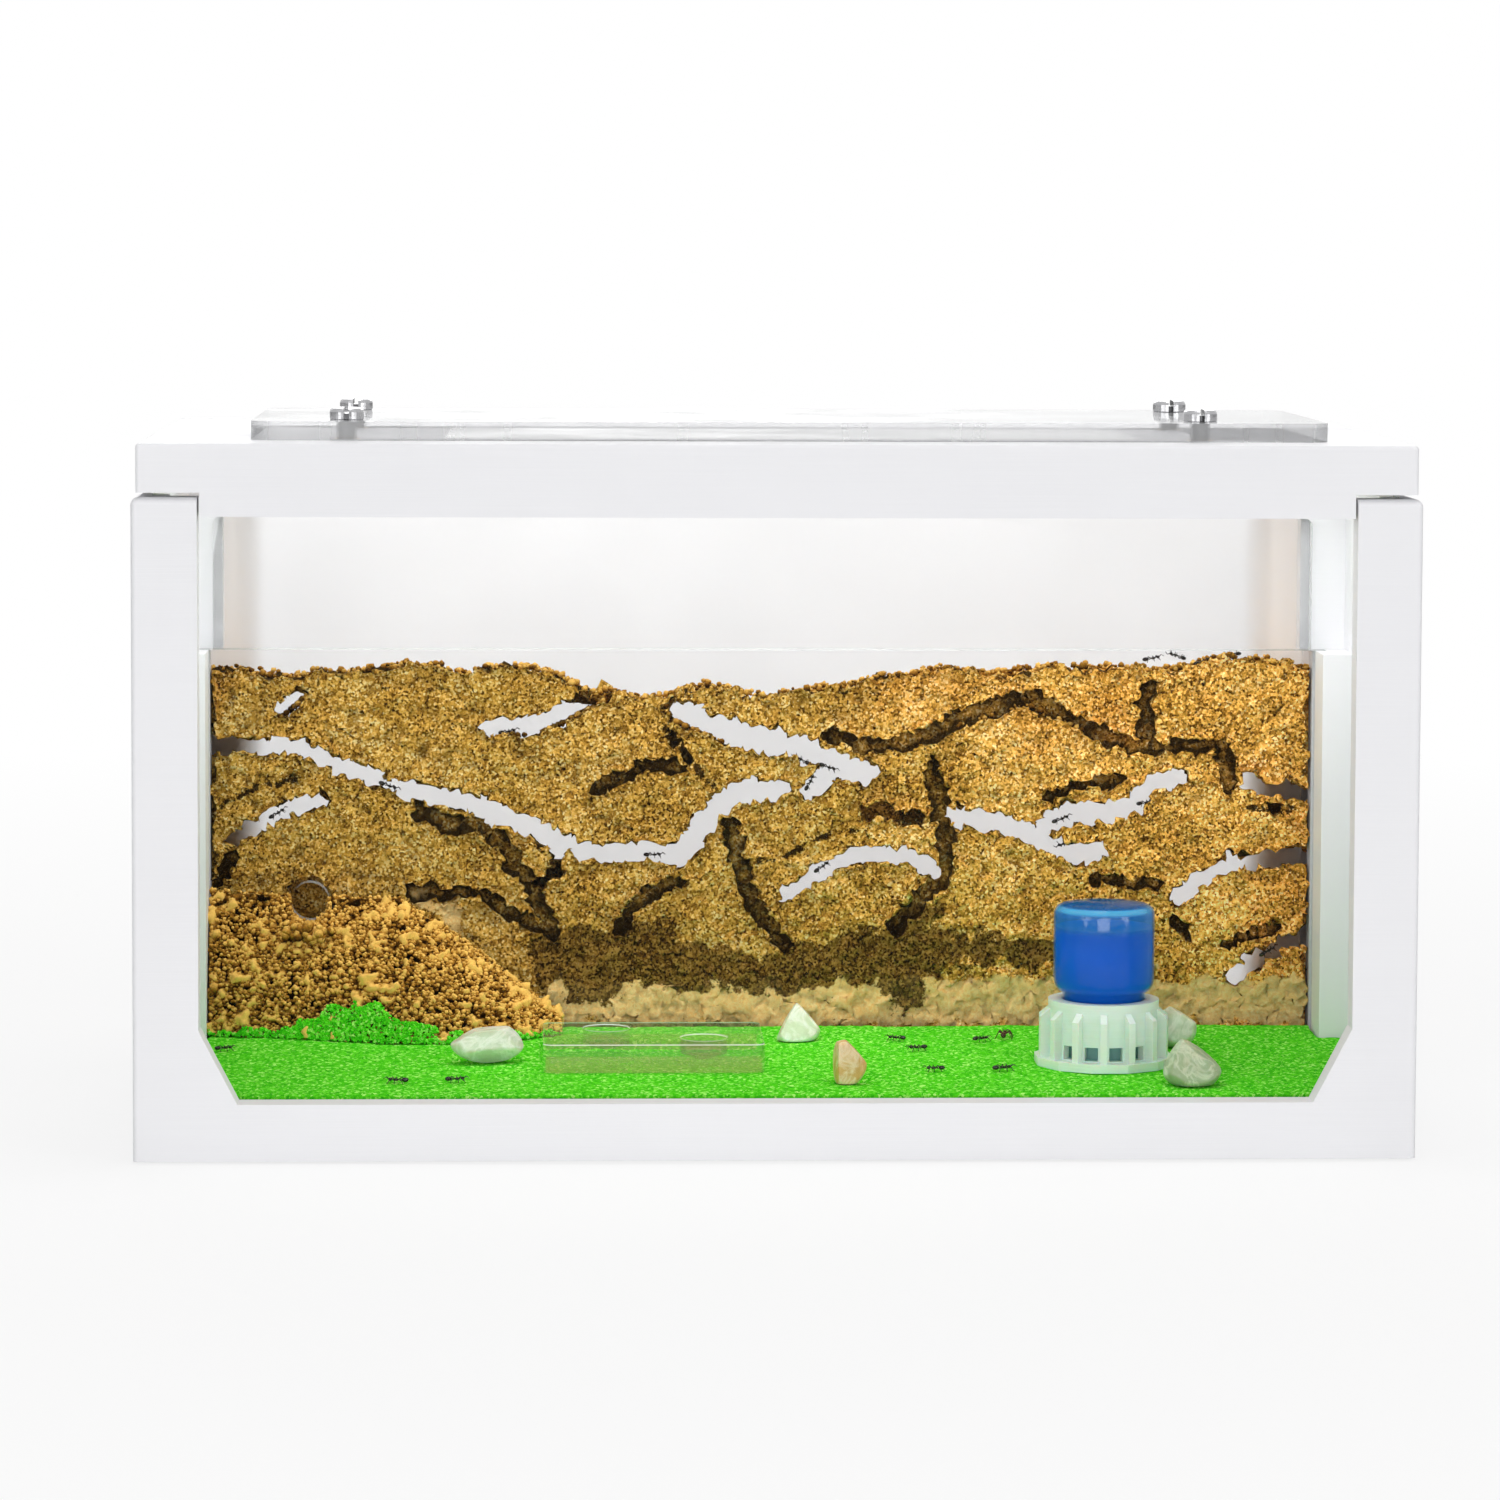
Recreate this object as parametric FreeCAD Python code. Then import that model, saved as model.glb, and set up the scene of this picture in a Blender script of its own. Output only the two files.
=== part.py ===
import FreeCAD, Part
import math
import os

from FreeCAD import Matrix, Vector

# Ant habitat: a printed tub with windows, clear panes, a sand nest behind an inner pane,
# a foraging floor in front of it, and a printed lid with a clear screwed hatch.
# Millimetres. +X to the keeper's right, +Y to the back, +Z up.
# The origin is the centre of the footprint on the table.

os.makedirs("parts", exist_ok=True)

# Running and seating clearances
pane_slip = 0.1
sand_slip = 0.2
seat_slip = 0.4
turning_slip = 0.05

# Printed tub
frame_width = 200.0
frame_depth = 100.0
frame_height = 103.2
wall_front = 5.0
wall_back = 5.0
wall_side = 3.0
floor_thick = 3.0
rail_height = 8.9
pillar_width = 10.2
corner_run = 6.0
corner_rise = 11.5
tub_edge_round = 0.8
pillar_top_round = 1.2
rib_reach = 2.5
rib_thick = 1.5

# Clear and opal sheet
front_pane_thick = 3.0
nest_pane_thick = 3.0
back_panel_thick = 3.0
lid_gap = 0.7

# Nest posts and the two inner panes
nest_pane_from_front = 57.0
ledge_below_rim = 28.2
post_width = 5.3
post_front_reach = 9.0
strip_width = 7.5
strip_thick = 4.0
strip_below_rim = 3.2
pane_groove = 1.9
upper_pane_inset = 6.0
upper_pane_below_rim = 6.2
upper_pane_round = 1.3

# Entrance hole through the lower nest pane
entrance_from_wall = 21.9
entrance_height = 33.2
entrance_radius = 3.15
entrance_gallery = 9.0

# The nest is drawn on a grid that stretches with it:
# so many squares from its middle to each side wall, and so many from the table to the ledge
squares_across = 97
squares_up = 75

# Nest sand: the height of its crest in squares, evenly spaced from the left wall to the right wall
crest_heights = [
    71.0, 71.6, 70.6, 71.4, 72.6, 70.7, 72.4, 68.3, 67.0, 69.3, 67.2,
    68.5, 70.0, 72.0, 71.0, 72.2, 72.2, 71.8, 73.7, 73.0, 71.0,
]

# Galleries dug right through the nest sand. Each has its width and its line on the front face,
# in squares across from the middle and up from the table. They widen towards the back,
# so that a keeper who sits at the viewing point sees through them.
viewing_left = 36.0
viewing_distance = 860.0
viewing_height = 146.5
galleries = [
    (1.7, [(-80.4, 64.3), (-76.6, 67.6)]),
    (2.6, [(-45.8, 61.8), (-38.3, 62.1), (-34.1, 63.8), (-27.0, 67.6)]),
    (1.9, [(-93.0, 59.0), (-83.2, 58.7), (-78.3, 59.1), (-69.1, 55.1), (-59.1, 51.3)]),
    (2.5, [(-60.0, 51.6), (-49.1, 49.3), (-35.8, 44.1), (-30.0, 41.0), (-17.5, 40.9), (-13.5, 40.2)]),
    (1.5, [(-35.3, 44.8), (-34.1, 41.0), (-34.2, 37.7), (-37.5, 36.1)]),
    (2.9, [(-13.6, 40.6), (-10.8, 44.6), (-8.0, 47.9), (-4.2, 50.9), (3.0, 51.6)]),
    (3.6, [(-14.7, 65.0), (-5.0, 60.8), (4.2, 59.1), (11.6, 56.3), (17.6, 54.1)]),
    (2.5, [(11.3, 55.0), (7.0, 50.9)]),
    (1.6, [(17.0, 47.6), (20.0, 47.9), (24.1, 46.5), (26.5, 46.6)]),
    (1.9, [(3.3, 33.5), (6.7, 35.8), (11.0, 38.6), (15.8, 40.6), (23.3, 40.8), (29.1, 37.6)]),
    (2.6, [(31.8, 47.3), (37.5, 46.1), (43.3, 44.9), (46.6, 42.6), (53.3, 40.4), (56.6, 41.3)]),
    (2.7, [(46.6, 44.6), (51.3, 47.6), (57.4, 47.6), (62.4, 49.1), (64.9, 52.1), (69.6, 53.4)]),
    (2.1, [(80.2, 52.9), (84.9, 51.6), (92.5, 50.6)]),
    (1.9, [(68.9, 33.0), (73.7, 36.3), (78.1, 39.1), (83.2, 40.0), (92.5, 40.4)]),
    (2.0, [(78.6, 19.6), (81.6, 22.0), (88.2, 26.0), (92.5, 27.2)]),
    (2.0, [(-88.2, 42.9), (-84.9, 44.9), (-79.1, 48.3), (-73.3, 50.1)]),
]

# Shallow grooves that the ants have scraped against the pane: width and line, as above
groove_depth = 3.0
grooves = [
    (0.9, [(-89.6, 48.6), (-84.4, 51.8), (-75.9, 53.4)]),
    (1.7, [(-91.0, 35.5), (-88.2, 40.0)]),
    (2.4, [(-57.4, 48.3), (-51.4, 45.3), (-46.0, 46.1), (-43.0, 41.4), (-38.6, 35.5), (-35.0, 27.0)]),
    (1.6, [(-58.6, 34.1), (-46.8, 33.8), (-41.3, 30.0), (-36.5, 27.9)]),
    (1.4, [(-27.6, 51.3), (-19.6, 55.3), (-14.2, 55.1)]),
    (1.0, [(-16.2, 61.5), (-14.5, 59.3), (-8.5, 51.9)]),
    (1.7, [(-24.3, 27.8), (-19.2, 34.3), (-13.7, 36.0)]),
    (2.0, [(-5.3, 46.1), (-4.3, 40.1), (-1.3, 32.1), (3.8, 24.8)]),
    (0.9, [(-3.0, 39.0), (2.5, 39.5), (11.0, 43.9), (15.8, 44.6)]),
    (2.2, [(11.5, 60.4), (15.3, 58.4), (22.1, 58.8), (28.1, 60.6), (32.3, 63.1), (45.4, 67.1)]),
    (1.7, [(45.4, 66.1), (57.8, 60.1), (64.4, 58.3), (75.4, 59.1)]),
    (2.0, [(64.8, 69.0), (63.6, 66.0), (64.4, 59.1)]),
    (2.0, [(76.7, 59.1), (78.1, 54.6), (78.1, 51.5)]),
    (1.3, [(47.1, 50.0), (55.6, 52.8), (62.1, 53.3)]),
    (2.6, [(28.1, 55.4), (29.6, 49.5), (30.9, 44.0), (30.3, 37.0), (22.1, 28.3)]),
    (1.0, [(81.4, 48.4), (89.1, 47.8)]),
    (1.3, [(55.4, 36.6), (66.1, 35.0)]),
    (1.2, [(68.6, 29.5), (73.7, 25.0), (77.6, 25.1), (86.9, 28.6)]),
]

# Foraging floor of coloured sand, lower at the front
bed_front_height = 9.0
bed_rise = 3.5

# Spoil heap below the entrance: distance from the left wall, crest height,
# and reach in front of the nest pane
heap_sections = [
    (5.7, 35.4, 7.0),
    (21.0, 34.4, 9.5),
    (37.0, 34.0, 13.0),
    (47.0, 27.5, 13.5),
    (56.0, 20.5, 11.0),
    (63.5, 14.6, 6.0),
]
heap_bulge = 0.62
heap_bore = 25.0

# Lid
lid_side_inset = 0.8
lid_height = 7.6
lid_plate_thick = 3.0
lid_rim_front = 9.0
lid_rim_side = 5.0
lid_edge_round = 0.6
apron_drop = 3.7
apron_side_gap = 0.4
hatch_opening_left_margin = 15.55
hatch_opening_right_margin = 9.45
hatch_opening_depth = 40.0
hatch_opening_round = 3.0

# Clear hatch plate with its screws and threaded inserts
hatch_from_left = 17.7
hatch_from_right = 12.9
hatch_from_front = 12.0
hatch_depth = 58.0
hatch_thick = 3.0
hatch_round = 3.5
screw_from_side = 32.5
screw_edge_distance = 8.2
shank_radius = 1.45
screw_length = 10.0
screw_hole_radius = 1.65
head_radius = 2.7
head_height = 1.9
head_round = 0.6
slot_width = 0.8
slot_depth = 0.9
insert_radius = 2.1
insert_length = 5.0
insert_slip = 0.02
boss_radius = 4.0
boss_drop = 2.8

# Clear feeder block with two drilled wells
feeder_from_wall = 60.5
feeder_from_front = 22.5
feeder_width = 35.5
feeder_depth = 23.5
feeder_thick = 4.7
feeder_seat = 10.0
feeder_round = 1.5
well_radius = 3.8
well_depth = 2.6
well_tip = 1.1
well_places = [(10.3, 17.8), (25.9, 7.5)]

# Drinker: a printed finned base with an upturned bottle
drinker_from_wall = 42.8
drinker_from_front = 32.0
drinker_seat = 10.0
flange_radius = 11.3
flange_sides = 12
flange_thick = 1.4
tray_floor = 0.8
tray_radius = 7.6
fin_root = 0.7
tray_height = 3.4
collar_radius = 8.95
collar_height = 10.6
fin_count = 14
fin_reach = 10.55
fin_thick = 1.1
fin_height = 9.2
fin_top_slope = 1.3
fin_phase = -95.5
window_sill = 1.6
window_height = 2.2
window_width = 2.2
nub_height = 0.5
nub_reach = 2.2
nub_width = 1.6
tray_water_depth = 0.75
bottle_radius = 8.15
bottle_height = 26.0
bottle_wall = 0.9
bottle_top_round = 1.6
neck_radius = 6.65
neck_length = 11.0
shoulder_height = 2.0
shoulder_bulge = (0.72, 0.3)
water_level = 22.1

# Pebbles: the side wall that they lie nearer to (-1 left, 1 right), distance from that wall
# and from the front, length, width, height, turn in degrees, lean
pebble_sink = 0.4
pebble_fit = 0.94
pebbles = {
    "pebble_long": (-1, 50.6, 32.0, 12.4, 6.4, 5.9, 12.0, 1.0),
    "pebble_triangle": (-1, 102.0, 47.0, 7.4, 5.6, 6.3, 0.0, 0.9),
    "pebble_tan": (-1, 109.4, 17.4, 5.5, 4.6, 7.0, 20.0, -0.5),
    "pebble_behind_drinker": (1, 30.1, 42.0, 7.4, 6.2, 6.6, 35.0, 0.4),
    "pebble_grey": (1, 29.8, 15.6, 9.8, 7.0, 7.3, -14.0, -0.8),
}

# Sizes and places that follow from the ones above
inner_half = frame_width / 2 - wall_side
front_face = -frame_depth / 2
back_face = frame_depth / 2
ledge_height = frame_height - ledge_below_rim
strip_top = frame_height - strip_below_rim
square_width = inner_half / squares_across
square_height = ledge_height / squares_up
viewing_point = Vector(-viewing_left, -viewing_distance, viewing_height)
inner_front = front_face + wall_front
inner_back = back_face - wall_back
pillar_inner = frame_width / 2 - pillar_width
lid_rest = frame_height + lid_gap
front_pane_back = inner_front + front_pane_thick
back_panel_front = inner_back - back_panel_thick
nest_pane_front = front_face + nest_pane_from_front
nest_pane_back = nest_pane_front + nest_pane_thick
post_inner = inner_half - post_width
post_front = nest_pane_front - post_front_reach
post_back = nest_pane_back + strip_thick
strip_inner = inner_half - strip_width
nest_back = back_panel_front - sand_slip
bed_start = front_pane_back + sand_slip
bed_end = nest_pane_front - sand_slip
lid_half = frame_width / 2 - lid_side_inset
lid_top = lid_rest + lid_height
lid_ceiling = lid_top - lid_plate_thick
hatch_left = -frame_width / 2 + hatch_from_left
hatch_right = frame_width / 2 - hatch_from_right
hatch_front = front_face + hatch_from_front
hatch_centre_y = hatch_front + hatch_depth / 2
hatch_top = lid_top + hatch_thick
screw_across = frame_width / 2 - screw_from_side
entrance_x = -inner_half + entrance_from_wall
feeder_left = -inner_half + feeder_from_wall
feeder_front = front_face + feeder_from_front
drinker_x = inner_half - drinker_from_wall
drinker_y = front_face + drinker_from_front


def block(low, high):
    """A box between its lowest and highest corners."""
    size = [top - bottom for bottom, top in zip(low, high)]
    return Part.makeBox(size[0], size[1], size[2], Vector(*low))


def rod(x, y, bottom, radius, height):
    """An upright cylinder."""
    return Part.makeCylinder(radius, height, Vector(x, y, bottom))


def upright_edges(solid):
    """The straight edges that run along Z."""
    return [
        edge for edge in solid.Edges
        if abs(edge.tangentAt(edge.FirstParameter).z) > 0.999 and edge.Length > 0.5
    ]


def rounded_plate(low, high, radius):
    """A flat plate with its four upright corners rounded."""
    plate = block(low, high)
    return plate.makeFillet(radius, upright_edges(plate))


def plate_along_y(outline, start, end):
    """A flat outline of (x, z) points, made solid from one depth to another."""
    corners = [Vector(x, start, z) for x, z in outline]
    face = Part.Face(Part.makePolygon(corners + corners[:1]))
    return face.extrude(Vector(0, end - start, 0))


def revolved(outline, x, y):
    """A solid of revolution about an upright axis, from (radius, height) edges."""
    face = Part.Face(Part.Wire(outline))
    solid = face.revolve(Vector(0, 0, 0), Vector(0, 0, 1), 360)
    solid.translate(Vector(x, y, 0))
    return solid


def profile_line(start, end):
    return Part.makeLine(Vector(start[0], 0, start[1]), Vector(end[0], 0, end[1]))


def profile_arc(start, middle, end):
    points = [Vector(point[0], 0, point[1]) for point in (start, middle, end)]
    return Part.Arc(*points).toShape()


def corner_middle(centre, radius, degrees):
    """A point on a round corner, for its arc."""
    angle = math.radians(degrees)
    return (centre[0] + radius * math.cos(angle), centre[1] + radius * math.sin(angle))


def band_outline(squares_wide, squares_line):
    """The outline of a band that follows a line of the nest's grid, with blunt pointed ends."""
    half = squares_wide * square_height / 2
    line = [(across * square_width, up * square_height) for across, up in squares_line]
    left_side = []
    right_side = []
    last = len(line) - 1
    for index, (x, z) in enumerate(line):
        before = line[max(index - 1, 0)]
        after = line[min(index + 1, last)]
        length = math.hypot(after[0] - before[0], after[1] - before[1])
        along = ((after[0] - before[0]) / length, (after[1] - before[1]) / length)
        left_side.append((x - along[1] * half, z + along[0] * half))
        right_side.append((x + along[1] * half, z - along[0] * half))
        if index == 0:
            start_tip = (x - along[0] * half, z - along[1] * half)
        if index == last:
            end_tip = (x + along[0] * half, z + along[1] * half)
    return [start_tip] + left_side + [end_tip] + right_side[::-1]


def seen_from(point, depth):
    """The point at another depth that hides behind this one from the viewing point."""
    share = (depth - viewing_point.y) / (point.y - viewing_point.y)
    return viewing_point + (point - viewing_point) * share


def gallery_cutter(width, line):
    """The space of one gallery, from in front of the nest sand to behind it."""
    face_points = [Vector(x, nest_pane_back, z) for x, z in band_outline(width, line)]
    wires = []
    for depth in (nest_pane_back - 1.0, nest_back + 1.0):
        ring = [seen_from(point, depth) for point in face_points]
        wires.append(Part.makePolygon(ring + ring[:1]))
    return Part.makeLoft(wires, True, True)


def groove_cutter(width, line):
    start = nest_pane_back - 1.0
    return plate_along_y(band_outline(width, line), start, nest_pane_back + sand_slip + groove_depth)


def bed_height(y):
    """The height of the foraging floor at a depth."""
    return bed_front_height + bed_rise * (y - bed_start) / (bed_end - bed_start)


def window_outline(top):
    """The window of the front and back walls, with its lower corners cut across."""
    sill = rail_height
    return [
        (-pillar_inner, top),
        (-pillar_inner, sill + corner_rise),
        (-pillar_inner + corner_run, sill),
        (pillar_inner - corner_run, sill),
        (pillar_inner, sill + corner_rise),
        (pillar_inner, top),
    ]


def guide_rib(side, start):
    """An upright rib on a side wall that keeps a pane against its wall."""
    ends = sorted((side * inner_half, side * (inner_half - rib_reach)))
    return block(
        (ends[0], start, floor_thick),
        (ends[1], start + rib_thick, frame_height),
    )


front_rib_start = front_pane_back + pane_slip
back_rib_start = back_panel_front - pane_slip - rib_thick


def base_frame():
    tub = block(
        (-frame_width / 2, front_face, 0),
        (frame_width / 2, back_face, frame_height),
    )
    tub = tub.makeFillet(tub_edge_round, upright_edges(tub))
    shoulder_edges = [
        edge for edge in tub.Edges
        if edge.BoundBox.ZMin > frame_height - 0.01
        and abs(edge.BoundBox.XMin) > frame_width / 2 - 0.01
        and edge.BoundBox.YLength > wall_front
    ]
    tub = tub.makeFillet(pillar_top_round, shoulder_edges)
    above = frame_height + lid_height
    cuts = [
        block((-inner_half, inner_front, floor_thick), (inner_half, inner_back, above)),
        plate_along_y(window_outline(above), front_face - 1, inner_front + 1),
        plate_along_y(window_outline(above), inner_back - 1, back_face + 1),
    ]
    tub = tub.cut(cuts)
    ribs = [
        guide_rib(side, start)
        for side in (-1, 1)
        for start in (front_rib_start, back_rib_start)
    ]
    return tub.fuse(ribs).removeSplitter()


def front_pane():
    half = inner_half - pane_slip
    return block((-half, inner_front, floor_thick), (half, front_pane_back, lid_rest))


def back_panel():
    half = inner_half - pane_slip
    return block((-half, back_panel_front, floor_thick), (half, inner_back, lid_rest))


def nest_post(side):
    """A printed post: a grooved lower part, a ledge, and an upper strip behind the upper pane."""

    def span(inner, outer, y_low, y_high, z_low, z_high):
        ends = sorted((side * inner, side * outer))
        return block((ends[0], y_low, z_low), (ends[1], y_high, z_high))

    lower = span(post_inner, inner_half, post_front, post_back, floor_thick, ledge_height)
    strip = span(strip_inner, inner_half, nest_pane_back, post_back, ledge_height, strip_top)
    groove = span(
        post_inner - 1, post_inner + pane_groove,
        nest_pane_front - pane_slip, nest_pane_back + pane_slip,
        floor_thick - 1, ledge_height + 1,
    )
    return lower.cut(groove).fuse(strip).removeSplitter()


def nest_pane_lower():
    half = post_inner + pane_groove - pane_slip
    pane = block((-half, nest_pane_front, floor_thick), (half, nest_pane_back, ledge_height))
    return pane.cut(entrance_bore(entrance_radius, nest_pane_front - 1, nest_pane_back + 1))


def entrance_bore(radius, start, end):
    """A bore along the depth, at the entrance hole."""
    place = Vector(entrance_x, start, entrance_height)
    return Part.makeCylinder(radius, end - start, place, Vector(0, 1, 0))


def nest_pane_upper():
    half = inner_half - upper_pane_inset
    top = frame_height - upper_pane_below_rim
    pane = block((-half, nest_pane_front, ledge_height), (half, nest_pane_back, top))
    corners = [
        edge for edge in pane.Edges
        if edge.BoundBox.ZMin > top - 0.01 and edge.BoundBox.YLength > nest_pane_thick / 2
    ]
    return pane.makeFillet(upper_pane_round, corners)


def nest_sand():
    half = inner_half - sand_slip
    front = nest_pane_back + sand_slip
    steps = len(crest_heights) - 1
    crest = [
        (-half + 2 * half * index / steps, squares * square_height)
        for index, squares in enumerate(crest_heights)
    ]
    slab = plate_along_y([(-half, floor_thick)] + crest + [(half, floor_thick)], front, nest_back)
    tall = frame_height
    cuts = []
    for side in (-1, 1):
        post_ends = sorted((side * (post_inner - sand_slip), side * (half + 1)))
        strip_ends = sorted((side * (strip_inner - sand_slip), side * (half + 1)))
        rib_ends = sorted((side * (inner_half - rib_reach - sand_slip), side * (half + 1)))
        behind_post = post_back + sand_slip
        cuts.append(block((post_ends[0], front - 1, 0), (post_ends[1], behind_post, tall)))
        above_ledge = ledge_height - sand_slip
        cuts.append(block((strip_ends[0], front - 1, above_ledge), (strip_ends[1], behind_post, tall)))
        cuts.append(block((rib_ends[0], back_rib_start - sand_slip, 0), (rib_ends[1], nest_back + 1, tall)))
    cuts += [gallery_cutter(width, line) for width, line in galleries]
    cuts += [groove_cutter(width, line) for width, line in grooves]
    cuts.append(entrance_bore(entrance_radius, front - 1, front + entrance_gallery))
    return slab.cut(cuts)


def pebble_prism(name, grow, bottom, height):
    """An upright oval prism about a pebble, for its seat in the floor."""
    side, from_wall, from_front, length, width, tall, turn, lean = pebbles[name]
    oval = Part.makeCylinder(1.0, height)
    stretch = Matrix()
    stretch.scale(length / 2 + grow, width / 2 + grow, 1.0)
    oval = oval.transformGeometry(stretch)
    oval.rotate(Vector(0, 0, 0), Vector(0, 0, 1), turn)
    oval.translate(Vector(side * (inner_half - from_wall), front_face + from_front, bottom))
    return oval


def pebble_bottom(name):
    from_front = pebbles[name][2]
    return bed_height(front_face + from_front) - pebble_sink


def foraging_floor():
    half = inner_half - sand_slip
    outline = [
        Vector(-half, bed_start, floor_thick),
        Vector(-half, bed_end, floor_thick),
        Vector(-half, bed_end, bed_height(bed_end)),
        Vector(-half, bed_start, bed_height(bed_start)),
    ]
    bed = Part.Face(Part.makePolygon(outline + outline[:1])).extrude(Vector(2 * half, 0, 0))
    tall = ledge_height
    cuts = []
    for side in (-1, 1):
        post_ends = sorted((side * (post_inner - sand_slip), side * (half + 1)))
        rib_ends = sorted((side * (inner_half - rib_reach - sand_slip), side * (half + 1)))
        cuts.append(block((post_ends[0], post_front - sand_slip, 0), (post_ends[1], bed_end + 1, tall)))
        rib_end = front_rib_start + rib_thick + sand_slip
        cuts.append(block((rib_ends[0], bed_start - 1, 0), (rib_ends[1], rib_end, tall)))
    feeder_low = (feeder_left - seat_slip, feeder_front - seat_slip, feeder_seat)
    feeder_high = (
        feeder_left + feeder_width + seat_slip,
        feeder_front + feeder_depth + seat_slip,
        tall,
    )
    cuts.append(block(feeder_low, feeder_high))
    cuts.append(rod(drinker_x, drinker_y, drinker_seat, flange_radius + seat_slip, tall))
    cuts += [pebble_prism(name, seat_slip, pebble_bottom(name), tall) for name in pebbles]
    return bed.cut(cuts)


def spoil_heap():
    wires = []
    for from_wall, crest, reach in heap_sections:
        x = -inner_half + from_wall
        foot = bed_end - reach
        middle_y = bed_end - reach * heap_bulge
        middle_z = bed_height(foot) + (crest - bed_height(foot)) * heap_bulge
        low_back = Vector(x, bed_end, bed_height(bed_end))
        low_front = Vector(x, foot, bed_height(foot))
        top = Vector(x, bed_end, crest)
        slope = Part.Arc(low_front, Vector(x, middle_y, middle_z), top).toShape()
        wires.append(Part.Wire([Part.makeLine(low_back, low_front), slope, Part.makeLine(top, low_back)]))
    heap = Part.makeLoft(wires, True, True)
    return heap.cut(entrance_bore(entrance_radius, bed_end - heap_bore, bed_end + 1))


def screw_places():
    """The four screws, as (x, y): front left, front right, back left, back right."""
    front = hatch_front + screw_edge_distance
    back = hatch_front + hatch_depth - screw_edge_distance
    return [(side * screw_across, y) for y in (front, back) for side in (-1, 1)]


def lid():
    shell = block((-lid_half, front_face, lid_rest), (lid_half, back_face, lid_top))
    rounded = [edge for edge in shell.Edges if edge.BoundBox.ZMax > lid_top - 0.01]
    shell = shell.makeFillet(lid_edge_round, rounded)
    hollow_half = lid_half - lid_rim_side
    hollow = block(
        (-hollow_half, front_face + lid_rim_front, lid_rest - 1),
        (hollow_half, back_face - lid_rim_front, lid_ceiling),
    )
    apron_half = pillar_inner - apron_side_gap
    aprons = [
        block((-apron_half, front_face, lid_rest - apron_drop), (apron_half, inner_front, lid_rest)),
        block((-apron_half, inner_back, lid_rest - apron_drop), (apron_half, back_face, lid_rest)),
    ]
    bosses = [rod(x, y, lid_ceiling - boss_drop, boss_radius, boss_drop) for x, y in screw_places()]
    opening_left = -screw_across + hatch_opening_left_margin
    opening_right = screw_across - hatch_opening_right_margin
    opening = rounded_plate(
        (opening_left, hatch_centre_y - hatch_opening_depth / 2, lid_ceiling - 1),
        (opening_right, hatch_centre_y + hatch_opening_depth / 2, lid_top + 1),
        hatch_opening_round,
    )
    bores = [
        rod(x, y, lid_ceiling - boss_drop - 1, insert_radius, lid_plate_thick + boss_drop + 2)
        for x, y in screw_places()
    ]
    return shell.cut(hollow).fuse(aprons + bosses).removeSplitter().cut([opening] + bores)


def hatch_plate():
    plate = rounded_plate(
        (hatch_left, hatch_front, lid_top),
        (hatch_right, hatch_front + hatch_depth, hatch_top),
        hatch_round,
    )
    holes = [rod(x, y, lid_top - 1, screw_hole_radius, hatch_thick + 2) for x, y in screw_places()]
    return plate.cut(holes)


def hatch_screw(x, y):
    tip = hatch_top - screw_length
    head_top = hatch_top + head_height
    centre = (head_radius - head_round, head_top - head_round)
    outline = [
        profile_line((0, tip), (shank_radius, tip)),
        profile_line((shank_radius, tip), (shank_radius, hatch_top)),
        profile_line((shank_radius, hatch_top), (head_radius, hatch_top)),
        profile_line((head_radius, hatch_top), (head_radius, head_top - head_round)),
        profile_arc(
            (head_radius, head_top - head_round),
            corner_middle(centre, head_round, 45),
            (head_radius - head_round, head_top),
        ),
        profile_line((head_radius - head_round, head_top), (0, head_top)),
        profile_line((0, head_top), (0, tip)),
    ]
    screw = revolved(outline, x, y)
    slot = block(
        (x - slot_width / 2, y - head_radius - 1, head_top - slot_depth),
        (x + slot_width / 2, y + head_radius + 1, head_top + 1),
    )
    return screw.cut(slot)


def thread_insert(x, y):
    bottom = lid_top - insert_length
    sleeve = rod(x, y, bottom, insert_radius - insert_slip, insert_length)
    return sleeve.cut(rod(x, y, bottom - 1, shank_radius + turning_slip, insert_length + 2))


def feeder_block():
    top = feeder_seat + feeder_thick
    low = (feeder_left, feeder_front, feeder_seat)
    high = (feeder_left + feeder_width, feeder_front + feeder_depth, top)
    body = rounded_plate(low, high, feeder_round)
    for across, back in well_places:
        x = feeder_left + across
        y = feeder_front + back
        floor = top - well_depth
        body = body.cut(rod(x, y, floor, well_radius, well_depth + 1))
        tip = Part.makeCone(0, well_radius, well_tip, Vector(x, y, floor - well_tip))
        body = body.cut(tip)
    return body


def turned(solid, degrees):
    """A copy turned about the drinker's upright axis."""
    copy = solid.copy()
    copy.rotate(Vector(drinker_x, drinker_y, 0), Vector(0, 0, 1), degrees)
    return copy


def drinker_fin():
    """One upright fin with a sloped top, on the drinker's +X side."""
    bottom = drinker_seat + flange_thick / 2
    top = drinker_seat + fin_height
    inner = tray_radius + fin_root
    outline = [
        Vector(drinker_x + inner, drinker_y - fin_thick / 2, bottom),
        Vector(drinker_x + fin_reach, drinker_y - fin_thick / 2, bottom),
        Vector(drinker_x + fin_reach, drinker_y - fin_thick / 2, top - fin_top_slope),
        Vector(drinker_x + collar_radius, drinker_y - fin_thick / 2, top),
        Vector(drinker_x + inner, drinker_y - fin_thick / 2, top),
    ]
    return Part.Face(Part.makePolygon(outline + outline[:1])).extrude(Vector(0, fin_thick, 0))


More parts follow.
